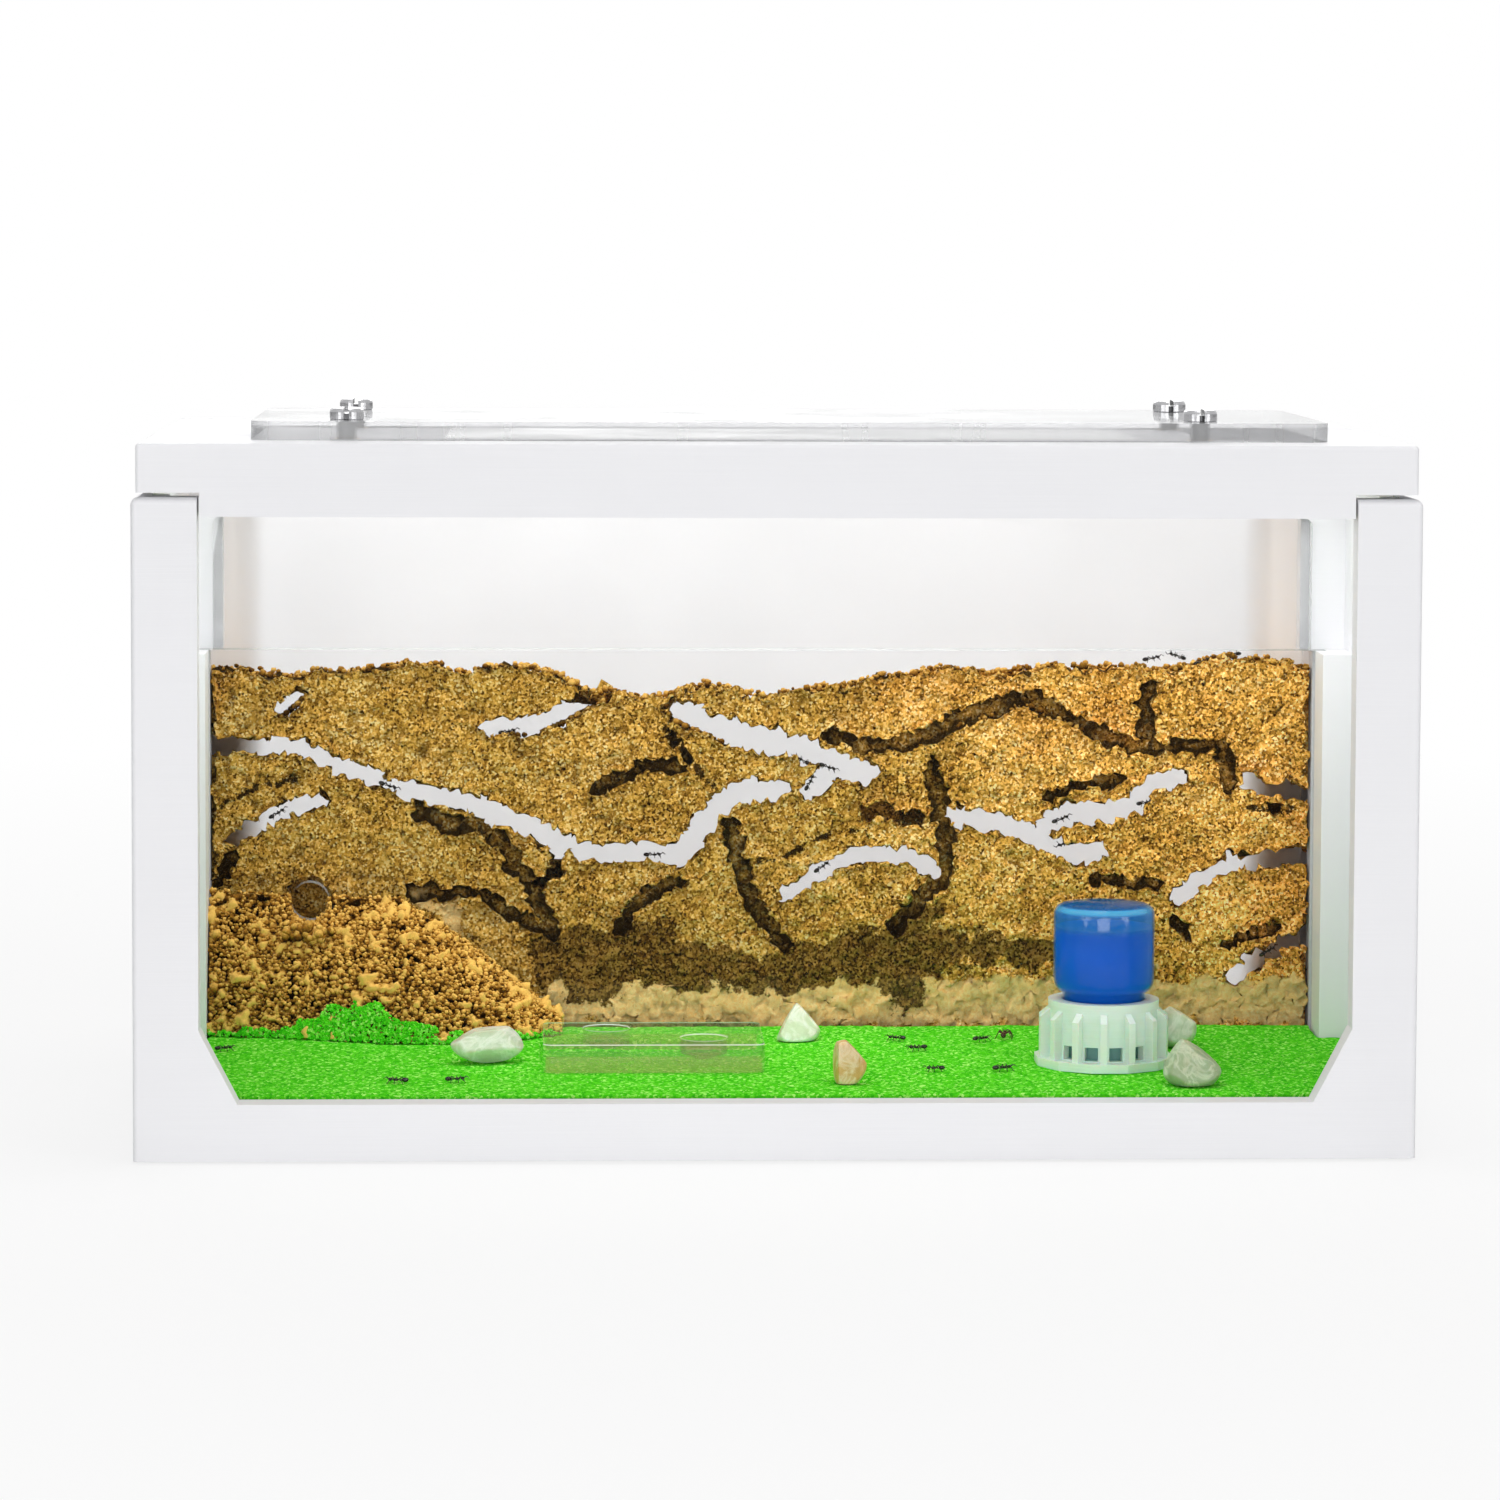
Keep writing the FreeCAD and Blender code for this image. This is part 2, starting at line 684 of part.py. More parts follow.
def drinker_base():
    ring = [
        Vector(
            drinker_x + flange_radius * math.cos(2 * math.pi * (corner + 0.5) / flange_sides),
            drinker_y + flange_radius * math.sin(2 * math.pi * (corner + 0.5) / flange_sides),
            drinker_seat,
        )
        for corner in range(flange_sides)
    ]
    flange = Part.Face(Part.makePolygon(ring + ring[:1])).extrude(Vector(0, 0, flange_thick))
    body = rod(drinker_x, drinker_y, drinker_seat, collar_radius, collar_height)
    step = 360 / fin_count
    fins = [turned(drinker_fin(), fin_phase + step * number) for number in range(fin_count)]
    base = flange.fuse([body] + fins).removeSplitter()
    tray = drinker_seat + tray_floor
    neck_bore = neck_radius + pane_slip
    cuts = [
        rod(drinker_x, drinker_y, tray, tray_radius, tray_height),
        rod(drinker_x, drinker_y, tray, neck_bore, collar_height),
    ]
    window = block(
        (drinker_x + neck_radius, drinker_y - window_width / 2, drinker_seat + window_sill),
        (drinker_x + collar_radius + 1, drinker_y + window_width / 2, drinker_seat + window_sill + window_height),
    )
    cuts += [turned(window, fin_phase + step * (number + 0.5)) for number in range(fin_count)]
    nubs = drinker_nubs(nub_height, 0)
    return base.cut(cuts).fuse(nubs).removeSplitter()


def drinker_nubs(height, grow):
    """Three low nubs on the tray's floor that hold the bottle's mouth off it."""
    tray = drinker_seat + tray_floor
    nub = block(
        (drinker_x + neck_radius - nub_reach - grow, drinker_y - nub_width / 2 - grow, tray),
        (drinker_x + neck_radius + grow, drinker_y + nub_width / 2 + grow, tray + height),
    )
    return [turned(nub, 120 * number) for number in range(3)]


def bottle_outline(radius, neck, mouth, shoulder, top, round_radius):
    """Half the bottle's outline: mouth down, neck, shoulder, body and rounded foot on top."""
    centre = (radius - round_radius, top - round_radius)
    shoulder_end = shoulder + shoulder_height
    return [
        profile_line((0, mouth), (neck, mouth)),
        profile_line((neck, mouth), (neck, shoulder)),
        profile_arc(
            (neck, shoulder),
            (neck + (radius - neck) * shoulder_bulge[0], shoulder + shoulder_height * shoulder_bulge[1]),
            (radius, shoulder_end),
        ),
        profile_line((radius, shoulder_end), (radius, top - round_radius)),
        profile_arc(
            (radius, top - round_radius),
            corner_middle(centre, round_radius, 45),
            (radius - round_radius, top),
        ),
        profile_line((radius - round_radius, top), (0, top)),
        profile_line((0, top), (0, mouth)),
    ]


bottle_mouth = drinker_seat + tray_floor + nub_height
bottle_shoulder = bottle_mouth + neck_length
bottle_top = drinker_seat + bottle_height


def bottle_inside(slack, mouth):
    """The bottle's inner space, a little smaller by the slack."""
    gap = bottle_wall + slack
    outline = bottle_outline(
        bottle_radius - gap, neck_radius - gap, mouth,
        bottle_shoulder, bottle_top - gap, bottle_top_round - bottle_wall / 2,
    )
    return revolved(outline, drinker_x, drinker_y)


def drinker_bottle():
    outline = bottle_outline(
        bottle_radius, neck_radius, bottle_mouth,
        bottle_shoulder, bottle_top, bottle_top_round,
    )
    return revolved(outline, drinker_x, drinker_y).cut(bottle_inside(0, bottle_mouth - 1))


def bottle_water():
    water = bottle_inside(turning_slip, bottle_mouth)
    surface = drinker_seat + water_level
    return water.cut(rod(drinker_x, drinker_y, surface, bottle_radius * 2, bottle_height))


def tray_water():
    tray = drinker_seat + tray_floor
    disc = rod(drinker_x, drinker_y, tray, tray_radius - turning_slip, tray_water_depth)
    mouth_ring = rod(drinker_x, drinker_y, bottle_mouth - turning_slip, neck_radius + pane_slip, 2)
    return disc.cut(drinker_nubs(tray_water_depth + 1, turning_slip) + [mouth_ring])


# Each section of a pebble: its share of the height, its share of the width, and its bumps
pebble_sections = [(0.0, 0.74, 0.05), (0.22, 0.97, 0.07), (0.5, 1.0, 0.08), (0.8, 0.76, 0.1), (1.0, 0.3, 0.1)]


def pebble(name):
    side, from_wall, from_front, length, width, tall, turn, lean = pebbles[name]
    wires = []
    for height_share, width_share, bump in pebble_sections:
        ring = []
        for corner in range(8):
            angle = 2 * math.pi * corner / 8
            reach = width_share * (1 + bump * math.cos(3 * angle + length))
            ring.append(Vector(
                reach * math.cos(angle) * length / 2 * pebble_fit + lean * height_share,
                reach * math.sin(angle) * width / 2 * pebble_fit,
                tall * height_share,
            ))
        curve = Part.BSplineCurve()
        curve.interpolate(ring, True)
        wires.append(Part.Wire(curve.toShape()))
    stone = Part.makeLoft(wires, True, False)
    stone.rotate(Vector(0, 0, 0), Vector(0, 0, 1), turn)
    place = Vector(side * (inner_half - from_wall), front_face + from_front, pebble_bottom(name))
    stone.translate(place)
    return stone


def save(name, shape):
    shape.exportStep("parts/" + name + ".step")
    print(name, "solids", len(shape.Solids), "valid", shape.isValid(), "volume", round(shape.Volume, 1))


save("base_frame", base_frame())
save("front_pane", front_pane())
save("back_panel", back_panel())
save("nest_post_left", nest_post(-1))
save("nest_post_right", nest_post(1))
save("nest_pane_lower", nest_pane_lower())
save("nest_pane_upper", nest_pane_upper())
save("nest_sand", nest_sand())
save("foraging_floor", foraging_floor())
save("spoil_heap", spoil_heap())
save("lid", lid())
save("hatch_plate", hatch_plate())
for label, place in zip(("front_left", "front_right", "back_left", "back_right"), screw_places()):
    save("hatch_screw_" + label, hatch_screw(*place))
    save("thread_insert_" + label, thread_insert(*place))
save("feeder_block", feeder_block())
save("drinker_base", drinker_base())
save("tray_water", tray_water())
save("drinker_bottle", drinker_bottle())
save("bottle_water", bottle_water())
for pebble_name in pebbles:
    save(pebble_name, pebble(pebble_name))
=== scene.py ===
import math
import random

import bmesh
import bpy
from mathutils import Matrix, Vector, noise


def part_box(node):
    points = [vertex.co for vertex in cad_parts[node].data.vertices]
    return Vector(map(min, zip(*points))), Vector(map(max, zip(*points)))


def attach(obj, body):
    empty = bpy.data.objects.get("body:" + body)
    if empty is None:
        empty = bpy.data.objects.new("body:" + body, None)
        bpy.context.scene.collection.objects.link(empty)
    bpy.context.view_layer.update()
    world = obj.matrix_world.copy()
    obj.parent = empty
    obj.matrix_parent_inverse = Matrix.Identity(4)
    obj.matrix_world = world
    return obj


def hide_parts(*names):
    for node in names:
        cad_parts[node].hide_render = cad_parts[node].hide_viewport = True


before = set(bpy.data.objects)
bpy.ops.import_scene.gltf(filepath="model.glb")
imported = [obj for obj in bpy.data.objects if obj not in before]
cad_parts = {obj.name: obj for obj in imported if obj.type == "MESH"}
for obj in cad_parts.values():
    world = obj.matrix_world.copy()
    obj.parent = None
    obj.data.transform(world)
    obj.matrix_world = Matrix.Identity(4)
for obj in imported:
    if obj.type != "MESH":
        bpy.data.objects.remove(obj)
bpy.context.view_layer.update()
scene = bpy.context.scene
mm = 0.001
print("frame loaded", len(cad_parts), "nodes")


# Shared helpers

def placeMaterial(piece, material):
    piece.data.materials.clear()
    piece.data.materials.append(material)


def newPiece(name, bm, material, smooth=True):
    mesh = bpy.data.meshes.new(name)
    bm.to_mesh(mesh)
    bm.free()
    mesh.polygons.foreach_set("use_smooth", [smooth] * len(mesh.polygons))
    piece = bpy.data.objects.new(name, mesh)
    scene.collection.objects.link(piece)
    placeMaterial(piece, material)
    return piece


def applied(piece):
    # the piece's mesh with its modifiers worked in
    graph = bpy.context.evaluated_depsgraph_get()
    mesh = bpy.data.meshes.new_from_object(piece.evaluated_get(graph))
    piece.modifiers.clear()
    old = piece.data
    piece.data = mesh
    bpy.data.meshes.remove(old)
    return piece


def roughen(piece, name, size, strength, middle, depth=2):
    # pushes the surface in and out with cloudy noise of that grain size
    texture = bpy.data.textures.new(name, "CLOUDS")
    texture.noise_scale = size * mm
    texture.noise_depth = depth
    displace = piece.modifiers.new(name, "DISPLACE")
    displace.texture = texture
    displace.texture_coords = "LOCAL"
    displace.strength = strength * mm
    displace.mid_level = middle


def voxelCopy(node, name, voxel, material):
    bm = bmesh.new()
    bm.from_mesh(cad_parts[node].data)
    bmesh.ops.remove_doubles(bm, verts=bm.verts, dist=0.002 * mm)
    bmesh.ops.recalc_face_normals(bm, faces=bm.faces)
    piece = newPiece(name, bm, material)
    remesh = piece.modifiers.new("even", "REMESH")
    remesh.mode = "VOXEL"
    remesh.voxel_size = voxel * mm
    remesh.use_smooth_shade = True
    return applied(piece)


def keepFaces(piece, wanted):
    # deletes the faces whose centre isn't wanted
    bm = bmesh.new()
    bm.from_mesh(piece.data)
    spare = [face for face in bm.faces if not wanted(face.calc_center_median())]
    bmesh.ops.delete(bm, geom=spare, context="FACES")
    bm.to_mesh(piece.data)
    bm.free()


def spunProfile(bm, points, centre, steps):
    # turns a profile of (radius, height) in millimetres about an upright axis
    x, y = centre
    rail = [bm.verts.new(((x + radius) * mm, y * mm, height * mm)) for radius, height in points]
    edges = [bm.edges.new(pair) for pair in zip(rail, rail[1:])]
    bmesh.ops.spin(
        bm, geom=rail + edges, cent=(x * mm, y * mm, 0), axis=(0, 0, 1),
        angle=2 * math.pi, steps=steps, use_merge=True,
    )
    bmesh.ops.remove_doubles(bm, verts=bm.verts, dist=0.01 * mm)
    bmesh.ops.recalc_face_normals(bm, faces=bm.faces)


def ride(piece, body, slotName, *nodes):
    if nodes:
        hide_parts(*nodes)
    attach(piece, body)


# Material nodes

class Shading:
    # a material with its shader, and short calls for the nodes that feed it
    def __init__(self, name, color, rough, **settings):
        self.material = bpy.data.materials.new(name)
        self.material.use_nodes = True
        self.tree = self.material.node_tree
        self.shader = self.tree.nodes["Principled BSDF"]
        self.set("Base Color", (*color, 1.0))
        self.set("Roughness", rough)
        for label, value in settings.items():
            self.set(label.replace("_", " "), value)
        self.coordinates = self.tree.nodes.new("ShaderNodeTexCoord").outputs["Object"]

    def set(self, label, value):
        self.shader.inputs[label].default_value = value

    def feed(self, label, output):
        self.tree.links.new(output, self.shader.inputs[label])

    def stretched(self, scale):
        mapping = self.tree.nodes.new("ShaderNodeMapping")
        mapping.inputs["Scale"].default_value = scale
        self.tree.links.new(self.coordinates, mapping.inputs["Vector"])
        return mapping.outputs["Vector"]

    def noise(self, scale, detail=2.0, roughness=0.5, vector=None, distortion=0.0):
        node = self.tree.nodes.new("ShaderNodeTexNoise")
        node.inputs["Scale"].default_value = scale
        node.inputs["Detail"].default_value = detail
        node.inputs["Roughness"].default_value = roughness
        node.inputs["Distortion"].default_value = distortion
        self.tree.links.new(vector or self.coordinates, node.inputs["Vector"])
        return node.outputs["Fac"]

    def grains(self, scale, vector=None):
        # one random grey for each grain, and the distance to its middle
        node = self.tree.nodes.new("ShaderNodeTexVoronoi")
        node.inputs["Scale"].default_value = scale
        self.tree.links.new(vector or self.coordinates, node.inputs["Vector"])
        grey = self.tree.nodes.new("ShaderNodeRGBToBW")
        self.tree.links.new(node.outputs["Color"], grey.inputs["Color"])
        return grey.outputs["Val"], node.outputs["Distance"]

    def ramp(self, output, stops):
        node = self.tree.nodes.new("ShaderNodeValToRGB")
        elements = node.color_ramp.elements
        elements[0].position, elements[0].color = stops[0][0], (*stops[0][1], 1.0)
        elements[1].position, elements[1].color = stops[-1][0], (*stops[-1][1], 1.0)
        for place, color in stops[1:-1]:
            elements.new(place).color = (*color, 1.0)
        self.tree.links.new(output, node.inputs["Fac"])
        return node.outputs["Color"]

    def mix(self, factor, first, second, blend="MIX"):
        node = self.tree.nodes.new("ShaderNodeMix")
        node.data_type = "RGBA"
        node.blend_type = blend
        for socket, value in ((node.inputs[0], factor), (node.inputs[6], first), (node.inputs[7], second)):
            if isinstance(value, bpy.types.NodeSocket):
                self.tree.links.new(value, socket)
            elif isinstance(value, tuple):
                socket.default_value = (*value, 1.0)
            else:
                socket.default_value = value
        return node.outputs[2]

    def math(self, operation, first, second=0.0, third=0.0):
        node = self.tree.nodes.new("ShaderNodeMath")
        node.operation = operation
        for socket, value in zip(node.inputs, (first, second, third)):
            if isinstance(value, bpy.types.NodeSocket):
                self.tree.links.new(value, socket)
            else:
                socket.default_value = value
        return node.outputs[0]

    def between(self, value, low, high, start=0.0, end=1.0):
        # a value brought from one range to another, held at its ends
        node = self.tree.nodes.new("ShaderNodeMapRange")
        for label, number in zip(("From Min", "From Max", "To Min", "To Max"), (low, high, start, end)):
            node.inputs[label].default_value = number
        self.tree.links.new(value, node.inputs["Value"])
        return node.outputs["Result"]

    def axis(self, letter, vector=None):
        node = self.tree.nodes.new("ShaderNodeSeparateXYZ")
        self.tree.links.new(vector or self.coordinates, node.inputs["Vector"])
        return node.outputs[letter]

    def facing(self):
        # 0 where the surface faces the ray, 1 where it is seen edge-on
        node = self.tree.nodes.new("ShaderNodeLayerWeight")
        node.inputs["Blend"].default_value = 0.5
        return node.outputs["Facing"]

    def normal(self):
        node = self.tree.nodes.new("ShaderNodeTexCoord")
        return node.outputs["Normal"]

    def attribute(self, name):
        node = self.tree.nodes.new("ShaderNodeAttribute")
        node.attribute_name = name
        return node.outputs["Fac"]

    def bump(self, height, distance, strength=1.0, below=None):
        node = self.tree.nodes.new("ShaderNodeBump")
        node.inputs["Strength"].default_value = strength
        node.inputs["Distance"].default_value = distance * mm
        self.tree.links.new(height, node.inputs["Height"])
        if below:
            self.tree.links.new(below, node.inputs["Normal"])
        return node.outputs["Normal"]


printed = {"color": (0.83, 0.83, 0.85), "shade": (0.75, 0.75, 0.775), "rough": 0.5, "layer": 0.2}


def printedPlastic(name, alongX=True):
    # white filament print: fine layer lines and faint streaks along the layers
    look = Shading(name, printed["color"], printed["rough"])
    lines = look.stretched((40, 40, 1 / (printed["layer"] * mm)) if alongX else (1 / (0.4 * mm), 40, 40))
    streak = look.noise(1.0, 2.0, 0.6, lines)
    broad = look.noise(25.0, 3.0)
    look.feed("Base Color", look.mix(look.math("MULTIPLY", streak, broad), printed["color"], printed["shade"]))
    look.feed("Normal", look.bump(streak, 0.03, 0.5))
    look.feed("Roughness", look.between(streak, 0.2, 0.8, 0.38, 0.6))
    return look.material


def clearSheet(name, across, face, edge, grazing):
    # Clear sheet that is seen through without bending what lies behind it. Its cut edges,
    # whose normal lies off the sheet's own axis, are paler and less clear than its faces.
    look = Shading(name, (0.8, 0.84, 0.85), 0.04, Alpha=0.12)
    cut = look.between(look.math("ABSOLUTE", look.axis(across, look.normal())), 0.4, 0.7, 1.0, 0.0)
    look.feed("Base Color", look.mix(cut, (0.1, 0.11, 0.11), (0.84, 0.87, 0.88)))
    glance = look.math("POWER", look.facing(), 4.0)
    clear = look.between(glance, 0.0, 1.0, face, grazing)
    look.feed("Alpha", look.math("MAXIMUM", clear, look.math("MULTIPLY", cut, edge)))
    look.feed("Roughness", look.between(look.noise(60.0), 0.3, 0.7, 0.02, 0.07))
    return look.material


def hatchSheetLook():
    # the thick plate: pale cut edges with faint upright bands of painted shade and darker painted shade on its ends, a
    # thin veil on its faces
    look = Shading("hatchSheet", (0.86, 0.87, 0.87), 0.06, Alpha=0.3)
    cut = look.between(look.math("ABSOLUTE", look.axis("Z", look.normal())), 0.4, 0.7, 1.0, 0.0)
    # painted shade: faint upright bands on the cut edges
    bands = look.noise(1.0, 3.0, 0.6, look.stretched((90, 40, 5)))
    veil = look.between(bands, 0.4, 0.66)
    pale = look.mix(veil, (0.68, 0.685, 0.69), (0.61, 0.615, 0.62))
    # painted shade on the plate's ends, whose cut faces point along X
    corner = look.between(look.math("ABSOLUTE", look.axis("X", look.normal())), 0.15, 0.9)
    body = look.mix(cut, (0.7, 0.71, 0.715), pale)
    look.feed("Base Color", look.mix(look.math("MULTIPLY", corner, cut), body, (0.3, 0.31, 0.32)))
    clear = look.between(look.math("POWER", look.facing(), 3.0), 0.0, 1.0, 0.06, 0.95)
    look.feed("Alpha", look.math("MAXIMUM", clear, look.math("MULTIPLY", cut, 0.36)))
    look.feed("Roughness", look.between(look.noise(60.0), 0.3, 0.7, 0.03, 0.1))
    return look.material


def opalSheet():
    # it passes light only inside the back window, and is plain white before the frame's pillars, painted whiter there
    # to lighten the strips that lie in shade
    look = Shading("opalSheet", (0.93, 0.93, 0.935), 0.85, IOR=1.15)
    aside = look.math("ABSOLUTE", look.axis("X"))
    look.feed("Transmission Weight", look.between(aside, 84.5 * mm, 89.5 * mm, 0.92, 0.0))
    # painted light: whiter before the pillars, where the strips lie in shade
    look.feed("Base Color", look.mix(look.between(aside, 84.5 * mm, 88 * mm), (0.93, 0.93, 0.935), (1.0, 1.0, 1.0)))
    look.feed("Roughness", look.between(look.noise(50.0), 0.3, 0.7, 0.8, 0.9))
    return look.material


sandLook = {
    "dark": (0.07, 0.028, 0.003), "low": (0.3, 0.14, 0.016), "mid": (0.57, 0.3, 0.044),
    "high": (0.9, 0.53, 0.11), "light": (1.0, 0.82, 0.38),
    # groove: near black, the painted shade in the grooves and gallery walls, and also the darkest damp sand
    "damp": (0.13, 0.064, 0.008), "groove": (0.016, 0.007, 0.001), "grain": 2700.0,
}


def nestSandLook(front):
    look = Shading("packedSand", sandLook["mid"], 0.95, Specular_IOR_Level=0.05)
    grey, distance = look.grains(sandLook["grain"])
    fine = look.noise(4200.0, 3.0, 0.7)
    grains = look.math("ADD", look.math("MULTIPLY", grey, 0.58), look.math("MULTIPLY", fine, 0.5))
    broad = look.math("MULTIPLY", look.math("SUBTRACT", look.noise(85.0, 4.0, 0.65), 0.5), 0.42)
    tone = look.math("ADD", look.math("ADD", grains, 0.035), broad)
    body = look.ramp(tone, [
        (0.33, sandLook["dark"]), (0.44, sandLook["low"]), (0.56, sandLook["mid"]),
        (0.7, sandLook["high"]), (0.84, sandLook["light"]),
    ])
    patches = look.between(look.noise(70.0, 4.0, 0.6), 0.35, 0.65)
    body = look.mix(look.math("MULTIPLY", patches, 0.32), body, (0.6, 0.63, 0.33), "MULTIPLY")
    rosy = look.between(look.noise(38.0, 3.0, 0.5), 0.52, 0.64)
    body = look.mix(look.math("MULTIPLY", rosy, 0.45), body, (1.0, 0.76, 0.72), "MULTIPLY")
    # brighter towards the right, rising from 5 mm to 60 mm right of the middle
    lift = look.between(look.axis("X"), 5 * mm, 60 * mm)
    body = look.mix(lift, body, (1.6, 1.52, 1.6), "MULTIPLY")
    ragged = look.noise(420.0, 4.0, 0.7)
    wander = look.math("SUBTRACT", look.math("ADD", ragged, look.noise(1100.0, 3.0, 0.7)), 1.0)
    pale = look.math("ADD", look.attribute("pale"), look.math("MULTIPLY", wander, 0.9))
    paleSand = look.mix(tone, (1.0, 0.5, 0.1), (1.0, 0.82, 0.38))
    body = look.mix(look.between(pale, 0.35, 0.65, 0.0, 0.97), body, paleSand)
    # painted shade: the grooves listed in nestSand are coloured near black, standing in for the shade inside them
    paintedGrooveShade = look.math("ADD", look.attribute("paintedGrooveShade"), look.math("MULTIPLY", wander, 0.9))
    body = look.mix(look.between(paintedGrooveShade, 0.4, 0.5, 0.0, 0.95), body, sandLook["groove"])
    damp = look.math("ADD", look.attribute("damp"), look.math("MULTIPLY", wander, 1.1))
    wet = look.ramp(tone, [(0.4, sandLook["groove"]), (0.56, sandLook["damp"]), (0.75, (0.36, 0.2, 0.036))])
    body = look.mix(look.between(damp, 0.42, 0.56, 0.0, 0.93), body, wet)
    # painted shade: the walls of the galleries and grooves, from about 0.7 to 4.2 mm behind the front, are coloured
    # near black, standing in for the shade inside them
    depth = look.math("ADD", look.axis("Y"), look.math("MULTIPLY", look.math("SUBTRACT", ragged, 0.5), 1.6 * mm))
    paintedWallShade = look.math(
        "MULTIPLY", look.between(depth, front + 0.7 * mm, front + 2.0 * mm), look.between(
            depth, front + 3.2 * mm, front + 4.2 * mm, 1.0, 0.0),
    )
    body = look.mix(look.math("MULTIPLY", paintedWallShade, 0.94), body, sandLook["groove"])
    look.feed("Base Color", body)
    look.feed("Normal", look.bump(look.math("ADD", grey, fine), 0.16, 0.9))
    return look.material


def looseSandLook(name, stops, grain, bumpDistance):
    look = Shading(name, stops[1][1], 0.95, Specular_IOR_Level=0.05)
    grey, distance = look.grains(grain)
    fine = look.noise(grain * 1.7, 3.0, 0.7)
    tone = look.math("ADD", look.math("MULTIPLY", grey, 0.62), look.math("MULTIPLY", fine, 0.5))
    look.feed("Base Color", look.ramp(tone, stops))
    look.feed("Normal", look.bump(look.math("ADD", grey, fine), bumpDistance, 0.9))
    return look.material


whitePrint = printedPlastic("whitePrint")
lidPrint = printedPlastic("lidPrint")
paneSheet = clearSheet("paneSheet", "Y", 0.008, 0.6, 0.5)
hatchSheet = hatchSheetLook()
opal = opalSheet()
for nodeName in ("base_frame", "nest_post_left", "nest_post_right"):
    placeMaterial(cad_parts[nodeName], whitePrint)
placeMaterial(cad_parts["lid"], lidPrint)
for nodeName in ("front_pane", "nest_pane_lower", "nest_pane_upper"):
    placeMaterial(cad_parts[nodeName], paneSheet)
placeMaterial(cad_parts["hatch_plate"], hatchSheet)
placeMaterial(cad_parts["back_panel"], opal)
print("frame finishes set")


# Nest sand, in front of and behind a cut that nothing shows

nestSand = {
    "voxel": 0.54, "rearVoxel": 0.7, "cut": 19.0, "fall": 0.13,
    "damp": [
        ((-34, 23), (-22, 23.5), 4.6), ((-22, 22.5), (-8, 21.5), 3.9), ((-8, 21), (6, 20.8), 3.0),
        ((6, 22), (16, 22.5), 3.6), ((16, 23.5), (28, 24), 4.6), ((22, 19), (25, 17), 2.6),
        ((28, 24.5), (50, 24), 2.3), ((24, 28), (29, 31), 1.6), ((-31, 18), (-25, 17.8), 2.2),
        ((-1, 18.5), (2, 18), 1.6), ((-22, 27.5), (-16, 28), 1.8),
    ],
    "pale": [((-36, 15.2), (92, 15.8), 3.6), ((-57, 32.6), (-52, 30.4), 1.6)],
    # the grooves, whose near-black colour is painted shade
    "paintedGrooveShade": [
        ((-89.6, 48.6), (-84.4, 51.8), 0.3), ((-84.4, 51.8), (-75.9, 53.4), 0.2),
        ((-16.2, 61.5), (-14.5, 59.3), 0.4), ((-14.5, 59.3), (-8.5, 51.9), 0.4),
        ((-3.0, 39.0), (2.5, 39.5), 0.2), ((2.5, 39.5), (11.0, 43.9), 0.2), ((11.0, 43.9), (15.8, 44.6), 0.1),
        ((81.4, 48.4), (89.1, 47.8), 0.3),
    ],
    "wander": {"damp": 1.0, "pale": 1.0, "paintedGrooveShade": 0.2}, "ceiling": {"damp": 40, "pale": 40, "paintedGrooveShade": 70},
}
viewEye = Vector((-36.0, -860.0, 146.5)) * mm


def bandShare(x, z, bands):
    # 1 inside the bands, falling to 0 a little outside them
    best = 0.0
    for (ax, az), (bx, bz), half in bands:
        along = Vector((bx - ax, bz - az))
        t = max(0.0, min(1.0, Vector((x - ax, z - az)).dot(along) / along.length_squared))
        gap = math.hypot(x - ax - along.x * t, z - az - along.y * t)
        best = max(best, 1.0 - max(0.0, min(1.0, (gap - half + 1.2) / 2.4)))
    return best


def stainFront(piece):
    mesh = piece.data
    for name, share in nestSand["wander"].items():
        values = []
        for vertex in mesh.vertices:
            x, z = vertex.co.x / mm, vertex.co.z / mm
            spot = Vector((x, 0, z))
            wanderX = noise.noise(spot * 0.3) * 1.8 + noise.noise(spot * 1.1) * 0.9
            wanderZ = noise.noise(spot * 0.34 + Vector((9, 9, 9))) * 2.6 + noise.noise(spot * 0.9) * 1.3
            near = z < nestSand["ceiling"][name] and vertex.co.y < slabLow.y + 4 * mm
            values.append(bandShare(x + wanderX * share, z + wanderZ * share, nestSand[name]) if near else 0.0)
        layer = mesh.attributes.new(name, "FLOAT", "POINT")
        layer.data.foreach_set("value", values)


def crestHeights():
    # the height of the slab's top along its length, by whole millimetres from its left end
    tops = [0.0] * int((slabHigh.x - slabLow.x) / mm + 2)
    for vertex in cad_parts["nest_sand"].data.vertices:
        place = int((vertex.co.x - slabLow.x) / mm)
        for near in range(max(0, place - 5), min(len(tops), place + 6)):
            tops[near] = max(tops[near], vertex.co.z)
    return tops


slabLow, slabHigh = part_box("nest_sand")
crestTops = crestHeights()


def fallenCrest(point):
    # the crest falls away behind its front edge, and is lumpy along its top
    place = max(0, min(len(crestTops) - 1, int((point.x - slabLow.x) / mm)))
    share = max(0.0, min(1.0, 1.0 - (crestTops[place] - point.z - 1 * mm) / (4 * mm)))
    lumps = noise.noise(point * 260) * 1.0 + noise.noise(point * 620) * 0.7
    fall = max(0.0, point.y - slabLow.y - 2 * mm) * nestSand["fall"]
    return Vector((point.x, point.y, point.z - share * (fall - lumps * mm)))


